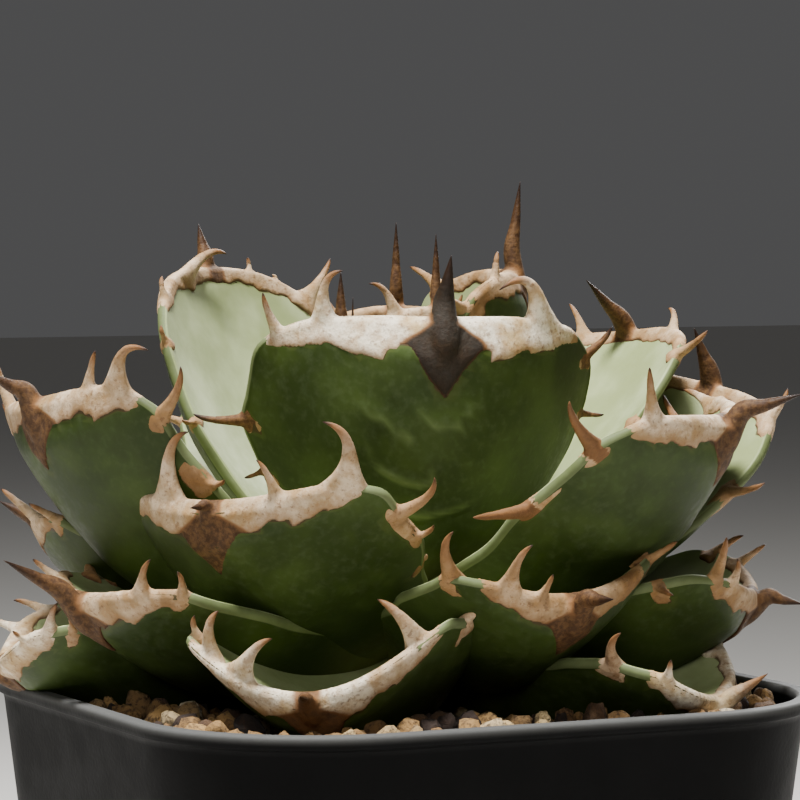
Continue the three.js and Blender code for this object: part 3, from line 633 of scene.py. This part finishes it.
# Ridges that the next leaf pressed into the back of this one while both were folded in the bud. x runs
# across from the midrib and down from the tip, in millimetres
def printedRidges(leaf, x, down):
    height = np.zeros_like(x)
    for line in leaf["prints"]:
        path = bent([(a, b, 0) for a, b in line], 24)[:, :2]
        spots = np.stack([x.ravel(), down.ravel()], axis=1)
        gap = np.linalg.norm(spots[:, None] - path[None], axis=2)
        near = gap.argmin(axis=1)
        fade = np.sin(near / (len(path) - 1) * math.pi) ** 0.5
        gap = gap.min(axis=1) / fleshMesh["printHalf"]
        ridge = (np.exp(-(gap**2)) - 0.45 * np.exp(-((gap - 1.9) ** 2))) * fade
        height = height + ridge.reshape(x.shape)
    return height * leaf["printHeight"]


def fleshPiece(leaf, horn):
    rows, columns = fleshMesh["rows"], fleshMesh["columns"]
    lower = np.linspace(0, 0.5, rows // 2, endpoint=False)
    upper = 1 - 0.5 * (1 - np.linspace(0, 1, rows // 2)) ** 2
    places = np.concatenate([lower, upper])
    shares = np.sin(np.linspace(-1, 1, columns) * math.pi / 2)
    place = np.repeat(places[:, None], columns, axis=1)
    share = np.repeat(shares[None], len(places), axis=0)
    faces = {}
    normal = midrib(leaf, place)[2]
    phase = leaf["index"] * 1.9
    for face in (1, -1):
        x = share * leaf["width"] / 2
        y = along(leaf, place) * leaf["length"]
        wave = np.sin(x * 0.31 + phase) * np.sin(y * 0.23 + phase * 2)
        wave = wave + 0.5 * np.sin(x * 0.13 - y * 0.37 + phase)
        fold = smooth(1 - np.abs(share), 0.1, 0.5) * smooth(1 - place, 0.03, 0.25)
        lift = fleshMesh["wave"] * wave * fold
        if face < 0:
            x = share * leaf["width"] / 2 * outline(leaf, place)
            ridges = printedRidges(leaf, x, leaf["length"] - y)
            lift = lift + ridges * fold
        spot = bladePoint(leaf, place, share, face)
        faces[face] = spot + normal * (face * lift)[..., None]
    arcs = {}
    for sign in (-1, 1):
        here, outward, _, up = edgeFrame(leaf, places, sign, lumpy=True)
        arc = []
        for turn in fleshMesh["edgeTurns"]:
            turn = math.radians(turn)
            bulge = outward * fleshMesh["bulge"] * math.cos(turn)
            arc.append(here + bulge + up * rosette["edge"] / 2 * math.sin(turn))
        arcs[sign] = np.stack(arc, axis=1)
    rings = np.concatenate([faces[1], arcs[1], faces[-1][:, ::-1], arcs[-1][:, ::-1]], axis=1)
    number = leaf["index"] + 1
    piece = closedMesh(f"flesh_{number:02d}", [rings])
    smoothShaded(piece.data)
    points = pointsOf(piece.data)
    gridPoints = rings.reshape(-1, 3)
    ringPlace = np.repeat(places, rings.shape[1])
    edge = np.full(len(fleshMesh["edgeTurns"]), 0.5)
    ringUpper = np.tile(np.concatenate([np.ones(columns), edge, np.zeros(columns), edge]), len(places))
    ringPrint = np.zeros((len(places), rings.shape[1]))
    backStart = columns + len(edge)
    ringPrint[:, backStart : backStart + columns] = ridges[:, ::-1]
    match = nearest(points, gridPoints)[0]
    # upper picks the face that the skin paints pale as painted light; the other face gets painted shade
    writeTone(piece.data, "upper", ringUpper[match])
    writeTone(piece.data, "place", ringPlace[match])
    writeTone(piece.data, "print", ringPrint.ravel()[match])
    # rimGap is the distance to the horn, where that isn't sunk in the flesh
    hornPoints = pointsOf(horn.data)
    found, gap = nearest(points, hornPoints)
    normals = np.empty(points.size)
    piece.data.vertices.foreach_get("normal", normals)
    sunk = np.einsum("ij,ij->i", points - hornPoints[found], normals.reshape(-1, 3))
    writeTone(piece.data, "rimGap", gap + 4 * smooth(sunk, 0.0, 0.25))
    return piece


# Colours are written as sRGB hex values
def colour(text):
    values = []
    for i in (0, 2, 4):
        channel = int(text[i : i + 2], 16) / 255
        values.append(channel / 12.92 if channel <= 0.04045 else ((channel + 0.055) / 1.055) ** 2.4)
    return (*values, 1)


# Links what is given as a socket and writes in the rest. n6 stands for socket number 6, and a colour socket
# takes a hex value
def plug(tree, node, **sockets):
    for key, value in sockets.items():
        name = key.replace("_", " ")
        socket = node.inputs[int(name[1:])] if name[0] == "n" and name[1:].isdigit() else node.inputs[name]
        if isinstance(value, bpy.types.NodeSocket):
            tree.links.new(value, socket)
        else:
            socket.default_value = colour(value) if socket.type == "RGBA" else value


# Adds one node, sets its fields and plugs in its sockets. give names the output wanted
def put(tree, kind, sets=None, give=None, **sockets):
    node = tree.nodes.new(kind)
    for key, value in (sets or {}).items():
        setattr(node, key, value)
    plug(tree, node, **sockets)
    return node if give is None else node.outputs[give]


asColour = {"data_type": "RGBA"}
softStep = {"interpolation_type": "SMOOTHSTEP"}


# Lays colours over a base. Each comes with the field that drives it, the field's values where it starts and
# is complete, and its strength at these two
def layered(tree, base, *layers):
    for field, start, full, low, high, tint in layers:
        share = put(tree, "ShaderNodeMapRange", softStep, 0, n0=field, n1=start, n2=full, n3=low, n4=high)
        base = put(tree, "ShaderNodeMix", asColour, 2, n0=share, n6=base, n7=tint)
    return base


# Lumps for one metre of a pattern whose lumps are so many millimetres apart
def perMetre(millimetres):
    return 1 / (millimetres * toMetres)


# A material of one Principled shader; constants go straight onto the shader's sockets. read gives the named
# attributes of the mesh as fields, and grains noises by lump size in millimetres, detail and roughness
def newMaterial(name, read=(), grains=(), rough=0.5, ior=1.5, specular=0.5):
    material = bpy.data.materials.new(name)
    material.use_nodes = True
    tree = material.node_tree
    tree.nodes.clear()
    shader = put(tree, "ShaderNodeBsdfPrincipled", Roughness=rough, IOR=ior, Specular_IOR_Level=specular)
    put(tree, "ShaderNodeOutputMaterial", Surface=shader.outputs["BSDF"])
    place = put(tree, "ShaderNodeTexCoord", give="Object")
    fields = [put(tree, "ShaderNodeAttribute", {"attribute_name": attribute}, "Fac") for attribute in read]
    for lump, detail, coarse in grains:
        fields.append(put(tree, "ShaderNodeTexNoise", None, "Fac", Vector=place, Scale=perMetre(lump),
                          Detail=detail, Roughness=coarse))
    return material, tree, shader, place, fields


# Finishes a material: its colour, the relief of one of its fields, with its height in metres, and its
# roughness where that varies
def finished(tree, shader, tint, relief, strength, height, **more):
    bump = put(tree, "ShaderNodeBump", None, "Normal", Strength=strength, Distance=height, Height=relief)
    plug(tree, shader, Base_Color=tint, Normal=bump, **more)


# Waxy agave skin: dark green under a thin powdery bloom, with only a broad, dull sheen. Its upper face is
# soft and pale, partly from the bloom and partly as painted light, and its lower face is darkened as painted
# shade
def waxySkin():
    material, tree, shader, _, fields = newMaterial(
        "waxyAgaveSkin", ("upper", "rimGap", "place", "print"), ((9, 3, 0.5), (1.1, 2, 0.5), (2.4, 3, 0.5)),
        ior=1.42, specular=0.22,
    )
    upper, rimGap, foot, ridge, broad, fine, pores = fields
    # The lower face's colour holds painted shade and the upper face's colour holds painted light, chosen by
    # the upper attribute
    underPaintedShade = layered(tree, "28350f", (broad, 0.35, 0.7, 0, 1, "384719"), (ridge, 0.02, 0.7, 0, 0.5, "6d7d4a"))
    abovePaintedLight = layered(tree, "858f60", (broad, 0.35, 0.7, 0, 1, "9ca57a"))
    skin = layered(
        tree, underPaintedShade,
        (upper, 0.3, 0.8, 0, 1, abovePaintedLight),
        (fine, 0.4, 0.8, 0, 0.04, "a9b294"),  # powdery bloom
        (foot, 0.02, 0.3, 0.6, 0, "8d8f52"),  # pale foot that gets no sun
        (rimGap, 0.4, 2.2, 0.15, 0, "6d7236"),  # yellower beside the horn
        (rimGap, 0.2, 0.55, 0.8, 0, "45301f"),  # brown line along it
    )
    rough = put(tree, "ShaderNodeMapRange", softStep, 0, n0=fine, n1=0.3, n2=0.7, n3=0.5, n4=0.64)
    finished(tree, shader, skin, pores, 0.25, 0.0002, Roughness=rough)
    return material


# Dry agave horn: corky and matt like old fingernail, chalk white to tan with brown flecks, and dark and
# smoother towards each tip
def dryHorn():
    material, tree, shader, _, fields = newMaterial(
        "dryAgaveHorn", ("tone", "dark", "brink", "pale", "black"),
        ((4.5, 4, 0.5), (0.8, 4, 0.65), (1.7, 5, 0.7)), ior=1.54, specular=0.16,
    )
    tone, dark, brink, pale, blackness, patch, fleck, mottle = fields
    wood = layered(tree, "6f4b2a", (patch, 0.33, 0.62, 0, 1, "ad8556"))
    chalk = layered(tree, "c9b084", (patch, 0.33, 0.62, 0, 1, "efe6cf"))
    horn = put(tree, "ShaderNodeMix", asColour, 2, n0=pale, n6=wood, n7=chalk)
    horn = layered(
        tree, horn,
        (mottle, 0.4, 0.66, 0, 0.55, "97703f"),  # weather stains
        (fleck, 0.54, 0.68, 0, 0.6, "6b4c33"),  # dark flecks
        (brink, 0.3, 2.2, 0.6, 0, "86633f"),  # browner towards the flesh
        (tone, 0.3, 0.9, 0, 1, "7d5735"),  # browner up a tooth
        (tone, 0.85, 1, 0, 1, "2a1a16"),  # dark tip
    )
    # The bare horn of the end spine: brown to black, with a ragged border
    brown = layered(tree, "452c1a", (fleck, 0.35, 0.7, 0, 1, "70502f"))
    black = layered(tree, "050302", (fleck, 0.35, 0.7, 0, 1, "100905"))
    bare = put(tree, "ShaderNodeMix", asColour, 2, n0=blackness, n6=brown, n7=black)
    bare = layered(tree, bare, (tone, 0.55, 0.95, 0, 1, "20130c"))
    ragged = put(tree, "ShaderNodeMath", {"operation": "MULTIPLY_ADD"}, 0, n0=patch, n1=0.7, n2=-0.35)
    reach = put(tree, "ShaderNodeMath", {"operation": "ADD"}, 0, n0=dark, n1=ragged)
    bare = layered(tree, "75502f", (reach, 0.45, 0.95, 0, 1, bare))
    horn = layered(tree, horn, (reach, 0.1, 0.6, 0, 0.97, bare), (brink, 0.15, 0.6, 0.8, 0, "4b3020"))
    rough = put(tree, "ShaderNodeMapRange", softStep, 0, n0=tone, n1=0.3, n2=1, n3=0.7, n4=0.45)
    finished(tree, shader, horn, fleck, 0.6, 0.0003, Roughness=rough)
    return material


# Moulded black polypropylene: nearly matt, with a faint grain from the mould and a little dust. The lip is
# greyed from where it starts up to its edge, in metres off the ground: partly dust and fine scuffs, partly a
# painted highlight
lipDustAndSheen = {"from": 0.0905, "to": 0.0919}


def mouldedPlastic():
    material, tree, shader, place, fields = newMaterial(
        "mouldedBlackPolypropylene", (), ((1.4, 5, 0.7), (6, 3, 0.5), (0.7, 3, 0.5)), ior=1.4, specular=0.08
    )
    dusty, broad, fine = fields
    up = put(tree, "ShaderNodeSeparateXYZ", None, "Z", Vector=place)
    # The grey lip band is partly dust and scuffs, partly a painted highlight
    body = layered(tree, "060606", (dusty, 0.58, 0.78, 0, 0.15, "121211"),
                   (up, lipDustAndSheen["from"], lipDustAndSheen["to"], 0, 0.75, "5e5e5c"))
    rough = put(tree, "ShaderNodeMapRange", softStep, 0, n0=broad, n1=0.3, n2=0.7, n3=0.54, n4=0.6)
    finished(tree, shader, body, fine, 0.2, 0.0002, Roughness=rough)
    return material


# Damp potting soil: dark brown crumbs, no gloss
def pottingSoil():
    material, tree, shader, _, (crumb,) = newMaterial("pottingSoil", (), [(2.2, 5, 0.7)], rough=0.95, ior=1.4)
    earth = layered(tree, "2b1f16", (crumb, 0.35, 0.7, 0, 1, "5b4530"))
    finished(tree, shader, earth, crumb, 0.8, 0.0012)
    return material


# Crushed pumice, baked clay and lava: dull porous grains in ochre, tan, cream and near black
def crushedGrit():
    material, tree, shader, _, (kind, pores) = newMaterial(
        "crushedPumiceAndLava", ["grain"], [(0.8, 5, 0.75)], rough=0.9
    )
    ramp = put(tree, "ShaderNodeValToRGB", n0=kind)
    stops = [(0.0, "1f1712"), (0.14, "35261c"), (0.24, "65482a"), (0.42, "8f6d3f"), (0.6, "b08b55"),
             (0.75, "7f5f38"), (0.9, "c2a674"), (0.98, "d8ccb4")]
    elements = ramp.color_ramp.elements
    elements[0].position, elements[0].color = stops[0][0], colour(stops[0][1])
    elements[1].position, elements[1].color = stops[-1][0], colour(stops[-1][1])
    for spot, text in stops[1:-1]:
        elements.new(spot).color = colour(text)
    grain = layered(tree, ramp.outputs["Color"], (pores, 0.47, 0.62, 0, 0.75, "3b281a"))
    finished(tree, shader, grain, pores, 1, 0.0007)
    return material


# Old stem under the rosette: pale grey-green with dry brown scars of fallen leaves
def scarredStem():
    material, tree, shader, _, (scar,) = newMaterial("scarredStem", (), [(3, 4, 0.5)], rough=0.8, ior=1.45)
    bark = layered(tree, "7d7d52", (scar, 0.4, 0.65, 0, 1, "5f482f"))
    finished(tree, shader, bark, scar, 0.5, 0.0004)
    return material


materials = {
    "skin": waxySkin(),
    "horn": dryHorn(),
    "plastic": mouldedPlastic(),
    "soil": pottingSoil(),
    "grit": crushedGrit(),
    "stem": scarredStem(),
}
print("materials", len(materials))

leaves = [leafFrame(row, i) for i, row in enumerate(leafRows)]
leafPieces = []
for leaf in leaves:
    number = leaf["index"] + 1
    horn = hornPiece(leaf)
    flesh = fleshPiece(leaf, horn)
    horn.data.materials.clear()
    horn.data.materials.append(materials["horn"])
    flesh.data.materials.append(materials["skin"])
    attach(horn, "root")
    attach(flesh, "root")
    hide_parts(f"rim_{number:02d}")
    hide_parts(f"leaf_{number:02d}")
    leafPieces += [horn, flesh]
print("leaves", sum(len(piece.data.polygons) for piece in leafPieces), "faces")

# Pot: a square with round corners, 10.5 cm across its rim
pot = {
    "side": 105,
    "corner": 27,
    "height": 92,
    "footSide": 84,
    "footCorner": 20,
    "wall": 1.5,
    "floor": 2.2,
    "lipStand": 1.1,
    "lipHeight": 2.0,
    "cornerSteps": 16,
    "drainRing": 24,
    "drainRadius": 4,
    "drains": 6,
}


def potRing(height, inset):
    share = height / pot["height"]
    side = mix(pot["footSide"], pot["side"], share) - 2 * inset
    corner = mix(pot["footCorner"], pot["corner"], share) - inset
    centre = side / 2 - corner
    ring = []
    for quarter, (sx, sy) in enumerate(((1, 1), (-1, 1), (-1, -1), (1, -1))):
        for i in range(pot["cornerSteps"] + 1):
            turn = (quarter + i / pot["cornerSteps"]) * math.pi / 2
            x = sx * centre + corner * math.cos(turn)
            ring.append((x, sy * centre + corner * math.sin(turn), height))
    return np.array(ring)


# Rings up the outside, over the rolled lip and down the inside, each a height and how far in it lies. The
# drain holes are cut through the floor
def potPiece():
    top, stand, wall = pot["height"], -pot["lipStand"], pot["wall"]
    lipLow = top - pot["lipHeight"]
    levels = [(0, 1.2), (0.3, 0.45), (0.9, 0.08), (1.6, 0)]
    levels += [(lipLow - 1.2, 0), (lipLow - 0.5, -0.12), (lipLow - 0.15, -0.45), (lipLow, stand + 0.2)]
    levels += [(lipLow + 0.15, stand), (top - 0.55, stand), (top - 0.2, stand + 0.12), (top, stand + 0.5)]
    levels += [(top, wall - 0.45), (top - 0.15, wall - 0.12), (top - 0.6, wall)]
    levels += [(pot["floor"] + 1, wall), (pot["floor"], wall + 1)]
    rings = np.stack([potRing(height, inset) for height, inset in levels])
    piece = closedMesh("pot_shell", [rings])
    drains = []
    for i in range(pot["drains"]):
        turn = math.pi * 2 * (i + 0.5) / pot["drains"]
        centre = np.array([math.cos(turn), math.sin(turn), 0]) * pot["drainRing"]
        around = np.arange(24) * math.pi / 12
        circle = np.stack([np.cos(around), np.sin(around), np.zeros(24)], axis=1) * pot["drainRadius"]
        drains.append(np.stack([centre + circle + [0, 0, z] for z in (-2, pot["floor"] + 2)]))
    cutter = closedMesh("drain_cutter", drains)
    cut = piece.modifiers.new("Drains", "BOOLEAN")
    cut.operation = "DIFFERENCE"
    cut.object = cutter
    plain(piece)
    bpy.data.objects.remove(cutter)
    for polygon in piece.data.polygons:
        polygon.use_smooth = abs(polygon.normal.z) < 0.99
    return piece


potShell = potPiece()
potShell.data.materials.clear()
potShell.data.materials.append(materials["plastic"])
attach(potShell, "root")
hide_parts("pot")
print("pot", len(potShell.data.polygons), "faces")

# Grit: grains thrown over the bed, kept clear of the leaves. The bed rises from the middle to the rim in
# steps, with low waves. smallest and largest are a grain's half-size
grit = {
    "bed": 87.6,
    "rimBed": 90.2,
    "steps": 14,
    "wave": 0.8,
    "inset": 4.2,
    "apart": 2.5,
    "smallest": 0.9,
    "largest": 2.7,
    "kinds": 6,
    "rough": 0.32,
    "seed": 11,
    "clear": 0.9,
    "tries": 200000.0,
}


def gritTree(obstacle):
    tree = bpy.data.node_groups.new("gritScatter", "GeometryNodeTree")
    face = tree.interface
    face.new_socket("Geometry", in_out="INPUT", socket_type="NodeSocketGeometry")
    for name in ("Apart", "Smallest", "Largest", "Clear"):
        face.new_socket(name, in_out="INPUT", socket_type="NodeSocketFloat")
    face.new_socket("Seed", in_out="INPUT", socket_type="NodeSocketInt")
    face.new_socket("Geometry", in_out="OUTPUT", socket_type="NodeSocketGeometry")
    given = put(tree, "NodeGroupInput").outputs
    points = put(tree, "GeometryNodeDistributePointsOnFaces", {"distribute_method": "POISSON"}, "Points",
                 Mesh=given["Geometry"], Distance_Min=given["Apart"], Density_Max=grit["tries"],
                 Seed=given["Seed"])
    blocker = put(tree, "GeometryNodeObjectInfo", None, "Geometry", Object=obstacle)
    gap = put(tree, "GeometryNodeProximity", {"target_element": "FACES"}, "Distance", Geometry=blocker)
    tooNear = put(tree, "FunctionNodeCompare", {"data_type": "FLOAT", "operation": "LESS_THAN"}, "Result",
                  n0=gap, n1=given["Clear"])
    kept = put(tree, "GeometryNodeDeleteGeometry", None, "Geometry", Geometry=points, Selection=tooNear)
    # A few kinds of grain, each a ball pushed out of shape and flattened
    kinds = put(tree, "GeometryNodeJoinGeometry")
    for i in range(grit["kinds"]):
        ball = put(tree, "GeometryNodeMeshIcoSphere", None, "Mesh", Radius=1.0, Subdivisions=2)
        lump = put(tree, "ShaderNodeTexNoise", {"noise_dimensions": "4D"}, "Color", W=i * 7.3, Scale=1.1,
                   Detail=2.0)
        middle = put(tree, "ShaderNodeVectorMath", {"operation": "SUBTRACT"}, 0, n0=lump, n1=(0.5, 0.5, 0.5))
        push = put(tree, "ShaderNodeVectorMath", {"operation": "SCALE"}, 0, n0=middle,
                   Scale=grit["rough"] * 4)
        rock = put(tree, "GeometryNodeSetPosition", None, 0, Geometry=ball, Offset=push)
        flat = (1.0, 0.72 + 0.06 * (i % 3), 0.62 + 0.08 * (i % 4))
        rock = put(tree, "GeometryNodeTransform", None, 0, Geometry=rock, Scale=flat)
        one = put(tree, "GeometryNodeGeometryToInstance", None, 0, Geometry=rock)
        plug(tree, kinds, Geometry=one)
    choice = put(tree, "FunctionNodeRandomValue", {"data_type": "INT"}, 2, Seed=given["Seed"], n4=0,
                 n5=grit["kinds"] - 1)
    spin = put(tree, "FunctionNodeRandomValue", {"data_type": "FLOAT_VECTOR"}, 0, Seed=given["Seed"],
               n1=(6.28, 6.28, 6.28))
    size = put(tree, "FunctionNodeRandomValue", {"data_type": "FLOAT"}, 1, Seed=given["Seed"],
               n2=given["Smallest"], n3=given["Largest"])
    kind = put(tree, "FunctionNodeRandomValue", {"data_type": "FLOAT"}, 1, Seed=grit["seed"] + 5)
    named = put(tree, "GeometryNodeStoreNamedAttribute", {"data_type": "FLOAT", "domain": "POINT"}, 0,
                Geometry=kept, Name="grain", Value=kind)
    grains = put(tree, "GeometryNodeInstanceOnPoints", None, "Instances", Points=named,
                 Instance=kinds.outputs["Geometry"], Pick_Instance=True, Instance_Index=choice, Rotation=spin,
                 Scale=size)
    whole = put(tree, "GeometryNodeRealizeInstances", None, "Geometry", Geometry=grains)
    dressed = put(tree, "GeometryNodeSetMaterial", None, 0, Geometry=whole, Material=materials["grit"])
    put(tree, "NodeGroupOutput", Geometry=dressed)
    return tree


def leafObstacle():
    points, faces = [], []
    for piece in leafPieces:
        offset = len(points)
        points += [tuple(vertex.co) for vertex in piece.data.vertices]
        faces += [tuple(offset + v for v in polygon.vertices) for polygon in piece.data.polygons]
    return newPiece("leafObstacle", points, faces)


def gritPiece():
    ring = potRing(grit["bed"], grit["inset"])
    steps = grit["steps"]
    points = [np.array([0.0, 0.0, grit["bed"]])]
    faces = []
    for i in range(1, steps + 1):
        level = ring.copy()
        level[:, :2] *= i / steps
        wave = grit["wave"] * np.sin(level[:, 0] * 0.16 + 1) * np.sin(level[:, 1] * 0.19)
        level[:, 2] = mix(grit["bed"], grit["rimBed"], smooth(i / steps, 0.6, 0.85)) + wave
        points += list(level)
    count = len(ring)
    for k in range(count):
        faces.append((0, 1 + k, 1 + (k + 1) % count))
    for i in range(steps - 1):
        for k in range(count):
            a, b = 1 + i * count + k, 1 + i * count + (k + 1) % count
            faces.append((a, a + count, b + count, b))
    piece = newPiece("grit_grains", (np.array(points) * toMetres).tolist(), faces)
    obstacle = leafObstacle()
    scatter = piece.modifiers.new("Scatter", "NODES")
    tree = gritTree(obstacle)
    scatter.node_group = tree
    lengths = ("apart", "smallest", "largest", "clear")
    settings = {name.capitalize(): grit[name] * toMetres for name in lengths}
    settings["Seed"] = grit["seed"]
    for item in tree.interface.items_tree:
        if item.in_out == "INPUT" and item.name in settings:
            scatter[item.identifier] = settings[item.name]
    plain(piece)
    bpy.data.objects.remove(obstacle)
    return piece


grains = gritPiece()
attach(grains, "root")
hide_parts("grit")
print("grit", len(grains.data.polygons), "faces")

# Soil and stem keep their solids
for name in ("soil", "stem"):
    for slot in nodes[name].material_slots:
        slot.material = materials[name]

# Studio: a pale paper floor in a grey room, with a strong soft light overhead, a weaker one from behind on
# the right that edges the leaves, and a faint one from the front. Each lamp's place is in metres from the
# plant's middle towards the camera, up and to the right, and spread is its cone in degrees
studio = {"floor": "d2cfc9", "room": "9c9c9d", "roomLight": 0.24, "spread": 120, "middle": 0.13}
lamps = {
    "key": {"back": 0.2, "up": 0.82, "right": -0.12, "size": 0.2, "watts": 12},
    "edge": {"back": -0.6, "up": 0.4, "right": 0.25, "size": 0.3, "watts": 3},
    "fill": {"back": 0.8, "up": 0.34, "right": -0.1, "size": 0.3, "watts": 1.0},
}


def softLight(name, place, target, size, watts):
    lamp = bpy.data.lights.new(name, "AREA")
    lamp.shape = "SQUARE"
    lamp.size = size
    lamp.energy = watts
    lamp.spread = math.radians(studio["spread"])
    holder = added(name, lamp)
    place = Vector(place)
    holder.location = place
    holder.rotation_euler = (Vector(target) - place).to_track_quat("-Z", "Y").to_euler()


bpy.ops.mesh.primitive_plane_add(size=8, location=(0, 0, 0))
floor = bpy.context.object
floor.name = "studio_floor"
paper, paperTree, paperShader, *_ = newMaterial("palePaperFloor", rough=0.8)
plug(paperTree, paperShader, Base_Color=studio["floor"])
floor.data.materials.append(paper)

world = bpy.data.worlds.new("studio")
bpy.context.scene.world = world
world.use_nodes = True
plug(world.node_tree, world.node_tree.nodes["Background"], Color=studio["room"], Strength=studio["roomLight"])

# The camera stands where the photograph's did: turned 26 degrees from the pot's front, almost level
camera = {"azimuth": -26.15, "elevation": 2.86, "distance": 0.6, "aimRight": 0.00058, "aimHeight": 0.13499,
          "lens": 178.07}


def addCamera():
    azimuth, elevation = math.radians(camera["azimuth"]), math.radians(camera["elevation"])
    right = np.array([math.cos(azimuth), math.sin(azimuth), 0])
    back = np.array([math.sin(azimuth) * math.cos(elevation), -math.cos(azimuth) * math.cos(elevation),
                     math.sin(elevation)])
    target = right * camera["aimRight"] + np.array([0, 0, camera["aimHeight"]])
    lens = bpy.data.cameras.new("view")
    lens.lens = camera["lens"]
    lens.sensor_width = 36
    lens.clip_start = 0.01
    holder = added("view", lens)
    holder.location = (target + back * camera["distance"]).tolist()
    holder.rotation_euler = (math.pi / 2 - elevation, 0, azimuth)
    bpy.context.scene.camera = holder
    return right, back


right, back = addCamera()
middle = np.array([0, 0, studio["middle"]])
for name, lamp in lamps.items():
    place = middle + back * lamp["back"] + np.array([0, 0, lamp["up"]]) + right * lamp["right"]
    softLight(name, place, middle, lamp["size"], lamp["watts"])
print("studio ready")
